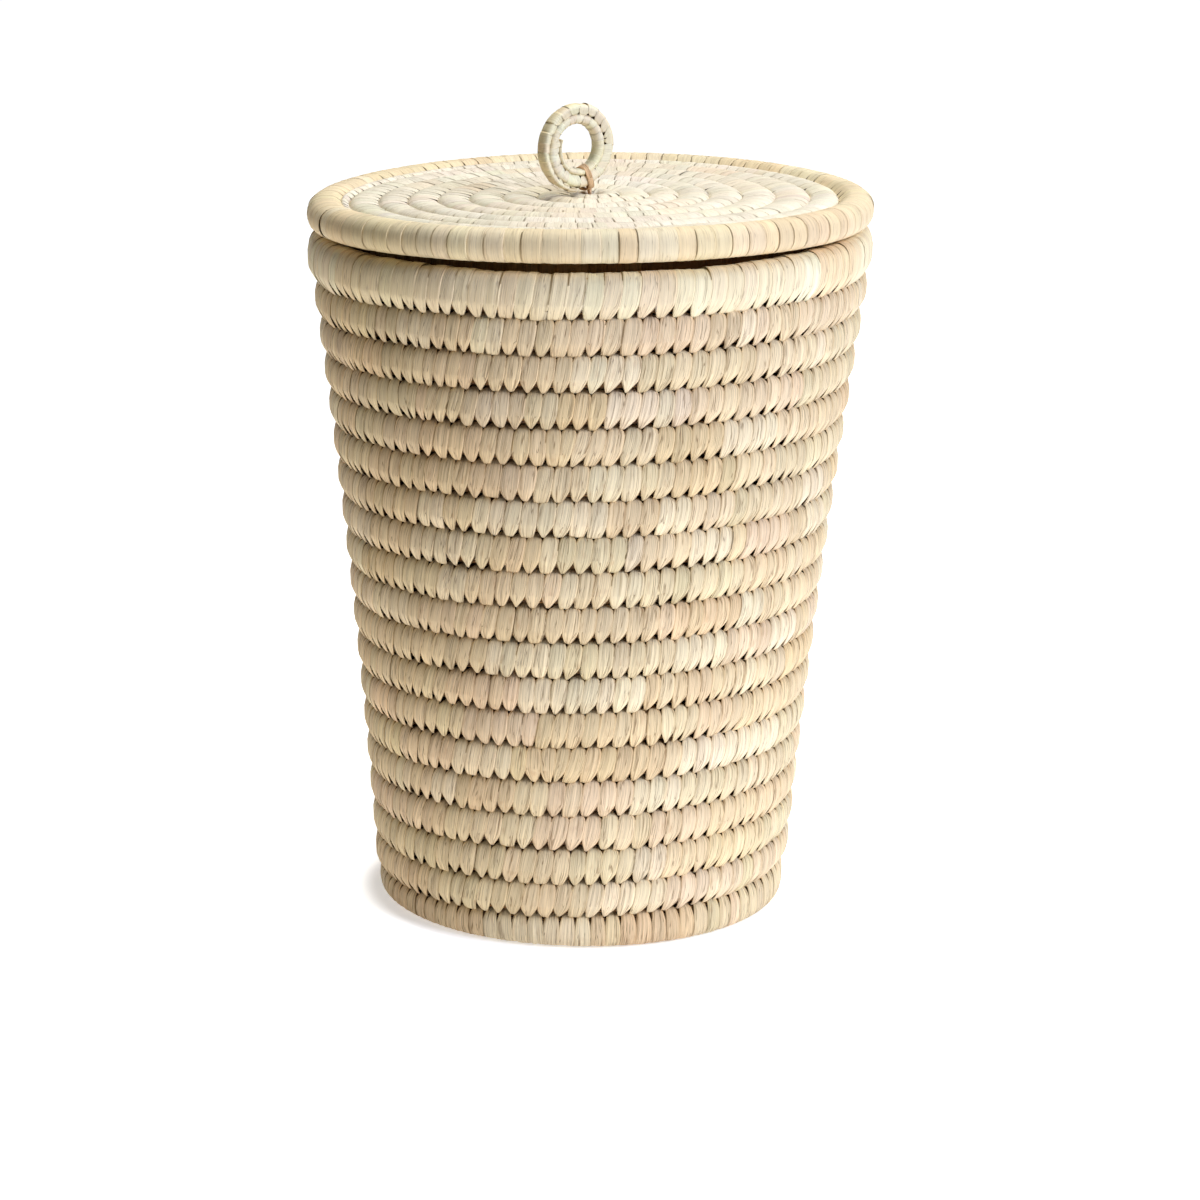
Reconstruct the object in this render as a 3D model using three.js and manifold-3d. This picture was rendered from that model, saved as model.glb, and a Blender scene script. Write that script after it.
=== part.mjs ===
// A lidded storage basket of coiled palm fibre.
//
// A bundle of palm fibre, sewn with strips of palm leaf, is wound row on row. The base and
// the lid are flat spirals, and the wall is one helix that widens towards the mouth. A
// thicker cord finishes the mouth and the lid's edge. A ring under the lid drops inside the
// mouth and keeps the lid in place. A finger ring of two turns stands on the lid, and a leaf
// tie holds it: the tie goes round the foot of the ring, down through the eye of the spiral
// and ends in a knot below.
//
// Lengths are millimetres and angles are degrees unless a name says otherwise. +Z is up, the
// floor is z = 0, and the Z axis is the basket's centre line. The front is towards -Y.

import * as THREE from 'three';
import { mergeVertices } from 'three/addons/utils/BufferGeometryUtils.js';
import Module from 'manifold-3d';

// Driving dimensions of the wall
const WALL_ROWS = 18;
const ROW_HEIGHT = 25.4;
const WALL_THICKNESS = 20;
const WALL_FOOT_RADIUS = 148.6;
const FOOT_ROW_INSET = 1;
const WALL_TOP_RADIUS = 196.7;
const WALL_HOLLOW = 3.7;
const FOOT_LIFT_TURNS = 0.25;
const WALL_TAIL_STEPS = 4;

// Driving dimensions of the mouth's rim
const RIM_OVERHANG = 2.5;
const RIM_THICKNESS = 22.8;
const RIM_HEIGHT = 28;
const RIM_TILT = 1.28;
const RIM_SAG = 2.5;

// Driving dimensions of the flat spirals
const SPIRAL_PITCH = 22.3;
const BASE_THICKNESS = 23;
const BASE_EYE_RADIUS = 3;

// Driving dimensions of the lid
const LID_OVERHANG = 0.2;
const LID_RIM_THICKNESS = 22.8;
const LID_THICKNESS = 18.6;
const LID_RISE = 1.4;
const LID_BOW = 3;
const LID_EYE_RADIUS = 5;
const LID_END_STEPS = 8;
const LID_DRIFT = 6;
const LID_ROW_GAP = 0.52;
const LOCATING_CLEARANCE = 4;
const LOCATING_WIDTH = 16;
const LOCATING_HEIGHT = 16;

// Driving dimensions of the finger ring and its tie
const HANDLE_HOLE_RADIUS = 15;
const HANDLE_PITCH = 8;
const HANDLE_TURNS = 2;
const HANDLE_THICKNESS = 11;
const HANDLE_TURN_ANGLE = 36;
const HANDLE_LEAN = 22;
const TIE_WIDTH = 6;
const TIE_THICKNESS = 1.4;
const TIE_CLEARANCE = 0.27;
const KNOT_RADIUS = 11;
const KNOT_HEIGHT = 7;
const KNOT_SQUARENESS = 0.7;

// How the cords are drawn and kept apart
const ROW_GAP = 0.45;
const SEAT_GAP = 0.35;
const HOOP_END_GAP = 0.7;
const TIP_THICKNESS = 2.5;
const FLAT_SHARE = 0.6;
const STEPS_PER_TURN = 20;
const TIGHT_STEPS_PER_TURN = 10;
const TIGHT_RADIUS = 38;
const HANDLE_STEPS_PER_TURN = 16;
const TIE_SEGMENTS = 16;
const KNOT_RINGS = 8;
const GAP_POINTS_PER_SIDE = 6;

// Places that follow from the driving dimensions
const START_ANGLE = Math.PI / 2;
const WALL_HEIGHT = WALL_ROWS * ROW_HEIGHT;
const WALL_TAIL_TURNS = WALL_TAIL_STEPS / STEPS_PER_TURN;
const FOOT_TIP_SHARE = (TIP_THICKNESS + ROW_GAP) / (ROW_HEIGHT / 2 + ROW_GAP);
const WALL_START_TURN = -FOOT_LIFT_TURNS * (1 - FOOT_TIP_SHARE);
const FOOT_ROW_RADIUS = WALL_FOOT_RADIUS - FOOT_ROW_INSET;
const RIM_OUTER_RADIUS = WALL_TOP_RADIUS + RIM_OVERHANG;
const LID_RADIUS = RIM_OUTER_RADIUS + LID_OVERHANG;
const RIM_SIDE_TOP = WALL_HEIGHT + RIM_HEIGHT + RIM_SAG;
const RIM_SLOPE = Math.tan(THREE.MathUtils.degToRad(RIM_TILT));
const LID_SEAT = RIM_SIDE_TOP + SEAT_GAP;
const BASE_OUTER_RADIUS = FOOT_ROW_RADIUS - WALL_THICKNESS - ROW_GAP;
const LID_COIL_RADIUS = LID_RADIUS - LID_RIM_THICKNESS - ROW_GAP;
const LID_END_TURN = LID_END_STEPS / STEPS_PER_TURN;
const LOCATING_OUTER_RADIUS = RIM_OUTER_RADIUS - RIM_THICKNESS - LOCATING_CLEARANCE;
const HANDLE_OUTER_RADIUS = HANDLE_HOLE_RADIUS + HANDLE_TURNS * HANDLE_PITCH;
const LID_CENTRE_BOTTOM = LID_RISE + LID_BOW;
const LID_CENTRE_TOP = LID_CENTRE_BOTTOM + LID_THICKNESS;
const HANDLE_LIFT = TIE_THICKNESS + SEAT_GAP / 2;
const HANDLE_HEIGHT = LID_CENTRE_TOP + HANDLE_LIFT + HANDLE_OUTER_RADIUS;
const TIE_REACH = HANDLE_OUTER_RADIUS * Math.sin(THREE.MathUtils.degToRad(HANDLE_LEAN));

const palmLeaf = { color: 0xe4d5b2, roughness: 0.62, metalness: 0 };
const paleLeaf = { color: 0xecdfbf, roughness: 0.6, metalness: 0 };
const shadedLeaf = { color: 0xb08a5c, roughness: 0.75, metalness: 0 };
const tanLeaf = { color: 0xc98f55, roughness: 0.65, metalness: 0 };

/** The wall's outer radius at a height: a cone, drawn in a little at mid height. */
function wallRadius(z) {
  const share = z / WALL_HEIGHT;
  const cone = THREE.MathUtils.lerp(WALL_FOOT_RADIUS, WALL_TOP_RADIUS, share);
  return cone - WALL_HOLLOW * 4 * share * (1 - share);
}

/** A cord's section in (radius, height): six corners, flat above and below. */
function cordSection({ inner, outer, bottom, top }) {
  const middleRadius = (inner + outer) / 2;
  const middleHeight = (bottom + top) / 2;
  const flat = FLAT_SHARE * (outer - inner) / 2;
  return [
    [outer, middleHeight],
    [middleRadius + flat, top],
    [middleRadius - flat, top],
    [inner, middleHeight],
    [middleRadius - flat, bottom],
    [middleRadius + flat, bottom],
  ];
}

/** The turns at which a coil has a section, at even parts of a turn between its two ends. */
function coilTurns(from, to, stepsAt = () => STEPS_PER_TURN) {
  const shortest = 0.3;
  const turns = [from];
  while (turns.at(-1) < to) {
    const steps = stepsAt(turns.at(-1));
    const next = Math.floor(turns.at(-1) * steps + 1 + shortest) / steps;
    turns.push(next > to - shortest / steps ? to : next);
  }
  return turns;
}

/** The least distance between a coil and its own next turn, measured on points. */
function leastGap(rings, turns) {
  const points = rings.map((ring) => ring.flatMap((corner, k) => {
    const side = new THREE.LineCurve3(corner, ring[(k + 1) % ring.length]);
    return side.getPoints(GAP_POINTS_PER_SIDE).slice(1);
  }));
  let least = Infinity;
  for (let i = 0; i < rings.length; i += 1) {
    for (let j = i + 1; j < rings.length; j += 1) {
      const apart = turns[j] - turns[i];
      if (apart < 0.5) continue;
      if (apart > 1.1) break;
      for (const a of points[i]) {
        for (const b of points[j]) least = Math.min(least, a.distanceTo(b));
      }
    }
  }
  return least;
}

/**
 * A coil as one unbroken tube round the Z axis, through the sections given by edgesAt.
 * liftAt raises a point by its place, and driftAt moves it towards -X by its radius.
 */
function coil(name, finish, turns, edgesAt, { liftAt = () => 0, driftAt = () => 0 } = {}) {
  const rings = turns.map((turn) => {
    const angle = START_ANGLE + 2 * Math.PI * turn;
    return cordSection(edgesAt(turn)).map(([radius, height]) => {
      const x = radius * Math.cos(angle) - driftAt(radius);
      const y = radius * Math.sin(angle);
      return new THREE.Vector3(x, y, height + liftAt(x, y));
    });
  });
  const length = (turns.at(-1) - turns[0]).toFixed(2);
  const gap = leastGap(rings, turns).toFixed(2);
  console.log(`${name}: ${length} turns, least gap to itself ${gap} mm`);

  const sides = rings[0].length;
  const faces = [];
  for (let k = 1; k < sides - 1; k += 1) faces.push(0, k, k + 1);
  for (let i = 0; i < rings.length - 1; i += 1) {
    for (let k = 0; k < sides; k += 1) {
      const a = i * sides + k;
      const b = i * sides + (k + 1) % sides;
      faces.push(a, a + sides, b + sides, a, b + sides, b);
    }
  }
  const last = (rings.length - 1) * sides;
  for (let k = 1; k < sides - 1; k += 1) faces.push(last, last + k + 1, last + k);

  const geometry = new THREE.BufferGeometry().setFromPoints(rings.flat());
  geometry.setIndex(faces);
  geometry.computeVertexNormals();
  return named(name, geometry, finish);
}

/** A flat spiral that fills a ring from one radius to another, and thins out at both ends. */
function spiral(name, finish, { inner, outer, pitch, bottom, top, endTurn, ...options }) {
  const { rowGap = ROW_GAP, stepsAt, liftAt, driftAt } = options;
  const edgeAtEnd = outer - TIP_THICKNESS;
  const innerEdge = (turn) => edgeAtEnd - pitch * (endTurn - turn);
  const startTurn = endTurn - (edgeAtEnd - inner + pitch - rowGap - TIP_THICKNESS) / pitch;
  const stepsHere = stepsAt ?? ((turn) => (
    innerEdge(turn) < TIGHT_RADIUS ? TIGHT_STEPS_PER_TURN : STEPS_PER_TURN
  ));
  const edgesAt = (turn) => ({
    inner: Math.max(innerEdge(turn), inner),
    outer: Math.min(innerEdge(turn) + pitch - rowGap, outer),
    bottom,
    top,
  });
  const turns = coilTurns(startTurn, endTurn, stepsHere);
  return coil(name, finish, turns, edgesAt, { liftAt, driftAt });
}

/** One turn of cord, whose two ends face each other across a small gap. */
function hoop(name, finish, edgesAt, liftAt) {
  const endGap = HOOP_END_GAP / (2 * Math.PI * edgesAt(0).inner);
  return coil(name, finish, coilTurns(0, 1 - endGap), edgesAt, { liftAt });
}

function named(name, geometry, finish) {
  const mesh = new THREE.Mesh(geometry, new THREE.MeshStandardMaterial(finish));
  mesh.name = name;
  return mesh;
}

/** How far the cord has lifted in its first turn: 0 is on the floor, 1 on its own start. */
function footLift(turn) {
  return THREE.MathUtils.clamp((turn - 1) / FOOT_LIFT_TURNS + 1, 0, 1);
}

/** The top of the wall's cord: it climbs one row in each turn, and thins out at both ends. */
function wallTop(turn) {
  if (turn < 0) return footLift(turn + 1) * (wallTop(0) + ROW_GAP) - ROW_GAP;
  const top = ROW_HEIGHT * (turn + 0.5);
  if (turn <= WALL_ROWS) return top;
  const share = (turn - WALL_ROWS) / WALL_TAIL_TURNS;
  const tailEnd = wallTop(WALL_ROWS + WALL_TAIL_TURNS - 1) + ROW_GAP + TIP_THICKNESS;
  return THREE.MathUtils.lerp(wallTop(WALL_ROWS), tailEnd, share);
}

/** The wall's cord: its first turn lies on the floor, then lifts onto its own start. */
function wallEdges(turn) {
  const lift = footLift(turn);
  const climbing = wallRadius(Math.max(turn, 1) * ROW_HEIGHT);
  const outer = THREE.MathUtils.lerp(FOOT_ROW_RADIUS, climbing, lift);
  const bottom = lift * (wallTop(Math.max(turn, 1) - 1) + ROW_GAP);
  return { inner: outer - WALL_THICKNESS, outer, bottom, top: wallTop(turn) };
}

function wallCoil() {
  const turns = coilTurns(WALL_START_TURN, WALL_ROWS + WALL_TAIL_TURNS);
  return coil('wall_coil', palmLeaf, turns, wallEdges);
}

/** The highest part of the wall under the rim, at a turn of the rim from 0 to 1. */
function wallCrest(turn) {
  const underTail = turn < WALL_TAIL_TURNS + 0.5 / STEPS_PER_TURN;
  return wallTop(WALL_ROWS + turn - (underTail ? 0 : 1));
}

function rimCoil() {
  return hoop('rim_coil', palmLeaf, (turn) => {
    const angle = START_ANGLE + 2 * Math.PI * turn;
    const middle = RIM_OUTER_RADIUS - RIM_THICKNESS / 2;
    const top = RIM_SIDE_TOP + RIM_SLOPE * middle * Math.cos(angle)
      - RIM_SAG * Math.sin(angle) ** 2;
    return {
      inner: RIM_OUTER_RADIUS - RIM_THICKNESS,
      outer: RIM_OUTER_RADIUS,
      bottom: wallCrest(turn) + ROW_GAP,
      top,
    };
  });
}

function baseCoil() {
  return spiral('base_coil', palmLeaf, {
    inner: BASE_EYE_RADIUS,
    outer: BASE_OUTER_RADIUS,
    pitch: SPIRAL_PITCH,
    bottom: 0,
    top: BASE_THICKNESS,
    endTurn: 1,
  });
}

/** The lid is bowed: its sides lie lower than the line from front to back. */
function lidBow(x) {
  return LID_BOW * (1 - (x / LID_RADIUS) ** 2);
}

/** The lid's turns aren't quite round its centre: half way out they lie nearer to the left. */
function lidDrift(radius) {
  const share = (radius - LID_EYE_RADIUS) / (LID_COIL_RADIUS - LID_EYE_RADIUS);
  return LID_DRIFT * Math.sin(Math.PI * share);
}

function lidCoil() {
  return spiral('lid_coil', paleLeaf, {
    inner: LID_EYE_RADIUS,
    outer: LID_COIL_RADIUS,
    pitch: SPIRAL_PITCH,
    bottom: LID_RISE,
    top: LID_RISE + LID_THICKNESS,
    endTurn: LID_END_TURN,
    rowGap: LID_ROW_GAP,
    liftAt: lidBow,
    driftAt: lidDrift,
  });
}

function lidRimCoil() {
  const edges = {
    inner: LID_RADIUS - LID_RIM_THICKNESS,
    outer: LID_RADIUS,
    bottom: 0,
    top: LID_RIM_THICKNESS,
  };
  return hoop('lid_rim_coil', paleLeaf, () => edges, lidBow);
}

function lidLocatingRing() {
  const edges = {
    inner: LOCATING_OUTER_RADIUS - LOCATING_WIDTH,
    outer: LOCATING_OUTER_RADIUS,
    bottom: LID_RISE - ROW_GAP - LOCATING_HEIGHT,
    top: LID_RISE - ROW_GAP,
  };
  return hoop('lid_locating_ring', shadedLeaf, () => edges, lidBow);
}

function handleRing() {
  return spiral('handle_ring', paleLeaf, {
    inner: HANDLE_HOLE_RADIUS,
    outer: HANDLE_OUTER_RADIUS,
    pitch: HANDLE_PITCH,
    bottom: -HANDLE_THICKNESS / 2,
    top: HANDLE_THICKNESS / 2,
    endTurn: 0.5,
    stepsAt: () => HANDLE_STEPS_PER_TURN,
  });
}

const wasm = await Module();
wasm.setup();

function solidOf(geometry) {
  const bare = geometry.clone();
  bare.deleteAttribute('normal');
  if (bare.attributes.uv) bare.deleteAttribute('uv');
  const merged = mergeVertices(bare, 1e-4);
  return new wasm.Manifold(new wasm.Mesh({
    numProp: 3,
    vertProperties: new Float32Array(merged.attributes.position.array),
    triVerts: new Uint32Array(merged.index.array),
  }));
}

function geometryOf(solid) {
  const { vertProperties, triVerts } = solid.getMesh();
  const geometry = new THREE.BufferGeometry();
  geometry.setAttribute('position', new THREE.BufferAttribute(vertProperties, 3));
  geometry.setIndex(new THREE.BufferAttribute(triVerts, 1));
  geometry.computeVertexNormals();
  return geometry;
}

/** An upright box outline with its four corners cut off. */
function chamfered(half, low, high, cut) {
  return [
    [half, low + cut], [half, high - cut], [half - cut, high], [cut - half, high],
    [-half, high - cut], [-half, low + cut], [cut - half, low], [half - cut, low],
  ].map(([x, y]) => new THREE.Vector2(x, y));
}

/**
 * The leaf tie, about the centre of the upright finger ring: a band round the ring's foot,
 * a stem down through the eye of the lid, and a knot below the lid.
 */
function handleTie() {
  const slotHalf = HANDLE_THICKNESS / 2 + TIE_CLEARANCE;
  const slotLow = -HANDLE_OUTER_RADIUS - TIE_CLEARANCE;
  const holeRise = TIE_WIDTH ** 2 / (8 * HANDLE_HOLE_RADIUS);
  const slotHigh = -HANDLE_HOLE_RADIUS + holeRise + TIE_CLEARANCE;
  const corner = HANDLE_PITCH / 4;
  const outline = new THREE.Shape(chamfered(
    slotHalf + TIE_THICKNESS, slotLow - TIE_THICKNESS, slotHigh + TIE_THICKNESS, corner,
  ));
  outline.holes.push(new THREE.Path(chamfered(slotHalf, slotLow, slotHigh, corner / 2)));
  const band = new THREE.ExtrudeGeometry(outline, { depth: TIE_WIDTH, bevelEnabled: false });
  band.translate(0, 0, -TIE_WIDTH / 2);
  band.rotateY(Math.PI / 2);
  band.rotateZ(THREE.MathUtils.degToRad(HANDLE_LEAN));
  band.rotateX(Math.PI / 2);

  const stemRadius = LID_EYE_RADIUS - SEAT_GAP;
  const stemTop = -Math.sqrt(slotLow ** 2 - (TIE_REACH - stemRadius) ** 2);
  const knotTop = LID_CENTRE_BOTTOM - SEAT_GAP - HANDLE_HEIGHT;
  const stemHeight = stemTop - knotTop + KNOT_HEIGHT / 2;
  const stem = new THREE.CylinderGeometry(stemRadius, stemRadius, stemHeight, TIE_SEGMENTS);
  stem.rotateX(Math.PI / 2);
  stem.translate(TIE_REACH, 0, stemTop - stemHeight / 2);

  const squared = (value) => Math.sign(value) * Math.abs(value) ** KNOT_SQUARENESS;
  const knotProfile = Array.from({ length: KNOT_RINGS + 1 }, (_, k) => {
    const angle = Math.PI * (k / KNOT_RINGS - 0.5);
    const radius = KNOT_RADIUS * squared(Math.cos(angle));
    return new THREE.Vector2(radius, KNOT_HEIGHT / 2 * squared(Math.sin(angle)));
  });
  const knot = new THREE.LatheGeometry(knotProfile, TIE_SEGMENTS);
  knot.rotateX(Math.PI / 2);
  knot.translate(TIE_REACH, 0, knotTop - KNOT_HEIGHT / 2);

  const tie = solidOf(band).add(solidOf(stem)).add(solidOf(knot));
  return named('handle_tie', geometryOf(tie), tanLeaf);
}

function handle() {
  const upright = new THREE.Group();
  upright.rotation.x = Math.PI / 2;
  upright.add(handleRing());

  const turned = new THREE.Group();
  turned.rotation.z = THREE.MathUtils.degToRad(HANDLE_TURN_ANGLE);
  turned.position.set(
    -TIE_REACH * Math.cos(turned.rotation.z),
    -TIE_REACH * Math.sin(turned.rotation.z),
    HANDLE_HEIGHT,
  );
  turned.add(upright, handleTie());
  return turned;
}

const lid = new THREE.Group();
lid.position.z = LID_SEAT;
lid.rotation.y = -THREE.MathUtils.degToRad(RIM_TILT);
lid.add(lidCoil(), lidRimCoil(), lidLocatingRing(), handle());

const basket = new THREE.Group();
basket.add(baseCoil(), wallCoil(), rimCoil(), lid);

export default basket;
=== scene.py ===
"""The looks of a lidded storage basket of coiled palm fibre.

Each cord of the basket is a bundle of palm fibre, wound row on row round the basket's centre
line. Strips of palm leaf wrap the bundle: each stitch passes over the cord, narrows to a tip
and enters the row before, between two of its stitches. The wall, the rim, the base, the lid,
the locating ring and the finger ring are all made in this way, so one class winds every cord
and lays its stitches, and each sub-assembly says only where its cord runs.

Lengths are millimetres until a mesh is made, angles are degrees, and a turn is one full
circle: turn 0 is at the back, 0.25 at the left, 0.5 at the front and 0.75 at the right.
"""

import logging
import math
from collections.abc import Callable, Sequence
from dataclasses import dataclass, field, replace
from enum import Enum

import bpy
import numpy as np
from mathutils import Matrix, Vector


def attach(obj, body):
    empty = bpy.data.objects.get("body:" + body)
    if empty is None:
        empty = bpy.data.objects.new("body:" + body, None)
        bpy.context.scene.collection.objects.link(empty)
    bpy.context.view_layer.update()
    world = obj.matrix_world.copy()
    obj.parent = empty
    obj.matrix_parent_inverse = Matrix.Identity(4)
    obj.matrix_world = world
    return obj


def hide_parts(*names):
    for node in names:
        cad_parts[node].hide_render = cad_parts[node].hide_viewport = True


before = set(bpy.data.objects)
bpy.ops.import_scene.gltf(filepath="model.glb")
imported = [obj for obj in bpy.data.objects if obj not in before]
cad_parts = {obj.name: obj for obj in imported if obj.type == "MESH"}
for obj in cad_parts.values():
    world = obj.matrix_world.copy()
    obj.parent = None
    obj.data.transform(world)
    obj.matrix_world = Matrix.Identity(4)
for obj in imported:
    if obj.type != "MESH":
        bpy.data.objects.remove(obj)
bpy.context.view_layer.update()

LOG = logging.getLogger("basket")
BAKE_MAP = "OFBake"
MM = 0.001  # one millimetre, in metres
BACK = 0.25  # how far turn 0 lies past the X axis, in turns

Colour = tuple[float, float, float]


def linear(red: int, green: int, blue: int) -> Colour:
    """A colour that is written as on screen, from 0 to 255, in linear values."""
    shares = (value / 255 for value in (red, green, blue))
    return tuple(s / 12.92 if s <= 0.04045 else ((s + 0.055) / 1.055) ** 2.4 for s in shares)


# ---- Finishes ----

MIDDLE = 0.5  # the middle of a noise that runs from 0 to 1


class Signal:
    """A socket in a node tree. Python's operators on it add the nodes for the same sum."""

    def __init__(self, graph: "Graph", socket: bpy.types.NodeSocket) -> None:
        """Keeps the graph that the socket belongs to, and the socket."""
        self.graph = graph
        self.socket = socket

    @property
    def many(self) -> bool:
        """True for a colour or a vector, False for one number."""
        return self.socket.type in {"RGBA", "VECTOR"}

    def _join(self, operation: str, left: object, right: object) -> "Signal":
        """Adds one Math or Vector Math node.

        Args:
            operation: The node's operation.
            left: The first signal, number or colour.
            right: The second one.

        Returns:
            The result.
        """
        several = [s for s in (left, right) if isinstance(s, tuple) or getattr(s, "many", False)]
        if not several:
            return self.graph.make("ShaderNodeMath", {"operation": operation}, {0: left, 1: right})
        spread = [(s,) * 3 if isinstance(s, int | float) else s for s in (left, right)]
        sockets = {0: spread[0], 1: spread[1]}
        return self.graph.make("ShaderNodeVectorMath", {"operation": operation}, sockets)

    def __add__(self, other: object) -> "Signal":
        """The sum."""
        return self._join("ADD", self, other)

    def __radd__(self, other: object) -> "Signal":
        """The sum, with the signal on the right."""
        return self._join("ADD", other, self)

    def __sub__(self, other: object) -> "Signal":
        """The difference."""
        return self._join("SUBTRACT", self, other)

    def __rsub__(self, other: object) -> "Signal":
        """The difference, with the signal on the right."""
        return self._join("SUBTRACT", other, self)

    def __mul__(self, other: object) -> "Signal":
        """The product."""
        return self._join("MULTIPLY", self, other)

    def __rmul__(self, other: object) -> "Signal":
        """The product, with the signal on the right."""
        return self._join("MULTIPLY", other, self)

    def __abs__(self) -> "Signal":
        """The size of one number, without its sign."""
        return self.graph.make("ShaderNodeMath", {"operation": "ABSOLUTE"}, {0: self})


@dataclass
class Graph:
    """The node tree of one material or of the world.

    Args:
        tree: The nodes and their links.
    """

    tree: bpy.types.NodeTree

    def make(self, kind: str, settings: dict | None = None, sockets: dict | None = None,
             output: int | str = 0) -> Signal:
        """Makes a node of any type.

        Args:
            kind: The node's type.
            settings: Its own settings by name, and "stops" for a colour ramp's stops.
            sockets: Values or signals for its inputs, by name or by number.
            output: The output that is returned, by name or by number.

        Returns:
            The chosen output.
        """
        node = self.tree.nodes.new(kind)
        for key, value in (settings or {}).items():
            if key == "stops":
                self._set_stops(node.color_ramp, value)
            else:
                setattr(node, key, value)
        for key, value in (sockets or {}).items():
            if isinstance(value, Signal):
                self.tree.links.new(value.socket, node.inputs[key])
            elif isinstance(value, tuple) and node.inputs[key].type == "RGBA":
                node.inputs[key].default_value = (*value, 1.0)
            else:
                node.inputs[key].default_value = value
        return Signal(self, node.outputs[output])

    @staticmethod
    def _set_stops(ramp: bpy.types.ColorRamp, stops: Sequence[tuple[float, Colour]]) -> None:
        """Gives a ramp its stops.

        Args:
            ramp: The ramp of a Color Ramp node.
            stops: A place from 0 to 1 and a colour for each stop, in order.
        """
        for _ in range(len(stops) - len(ramp.elements)):
            ramp.elements.new(0.5)
        for element, (place, colour) in zip(ramp.elements, stops, strict=True):
            element.position = place
            element.color = (*colour, 1.0)

    def attribute(self, name: str, output: str) -> Signal:
        """A value that the mesh carries."""
        return self.make("ShaderNodeAttribute", {"attribute_name": name}, output=output)

    def noise(self, place: Signal, detail: float) -> Signal:
        """Even noise from 0 to 1, with one feature to a unit and some finer layers."""
        sockets = {"Vector": place, "Scale": 1.0, "Detail": detail, "Roughness": 0.55}
        return self.make("ShaderNodeTexNoise", {"noise_dimensions": "3D"}, sockets)

    def ramp(self, value: Signal, low: float, high: float) -> Signal:
        """Runs from 0 at low to 1 at high, and stays there beyond them."""
        sockets = {"Value": value, "From Min": low, "From Max": high}
        return self.make("ShaderNodeMapRange", {"interpolation_type": "SMOOTHSTEP"}, sockets)

    def blend(self, share: Signal, one: Signal | Colour, other: Signal | Colour) -> Signal:
        """Mixes two colours. The share is how much of the second one there is."""
        return self.make("ShaderNodeMix", {"data_type": "RGBA"}, {0: share, 6: one, 7: other}, 2)


@dataclass(frozen=True)
class Finish:
    """What every finish has: a name, a gloss and the depth of its grain.

    Args:
        name: The material's name.
        roughness: How matt it is: 0 is a mirror.
        grain_depth: How strongly its grain shades it.
        relief: How high its grain stands at full depth, in metres.
        sheen: How much it mirrors where it is seen straight on.
    """

    name: str
    roughness: float = 0.6
    grain_depth: float = 0.6
    relief: float = 0.0009
    sheen: float = 0.35

    def pattern(self, graph: Graph) -> tuple[Signal, Signal, Signal]:
        """The colour, a number that is added to the roughness, and a height."""
        raise NotImplementedError

    def material(self) -> bpy.types.Material:
        """Makes the material, or finds it where it has been made before.

        Returns:
            The material.
        """
        made = bpy.data.materials.get(self.name)
        if made:
            return made
        made = bpy.data.materials.new(self.name)
        made.use_nodes = True
        graph = Graph(made.node_tree)
        shader = made.node_tree.nodes["Principled BSDF"]
        colour, gloss, height = self.pattern(graph)
        bump = graph.make("ShaderNodeBump", None, {
            "Strength": self.grain_depth, "Distance": self.relief, "Height": height,
        })
        link = made.node_tree.links.new
        link(colour.socket, shader.inputs["Base Color"])
        link((gloss + self.roughness).socket, shader.inputs["Roughness"])
        link(bump.socket, shader.inputs["Normal"])
        shader.inputs["Specular IOR Level"].default_value = self.sheen
        return made


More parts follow.
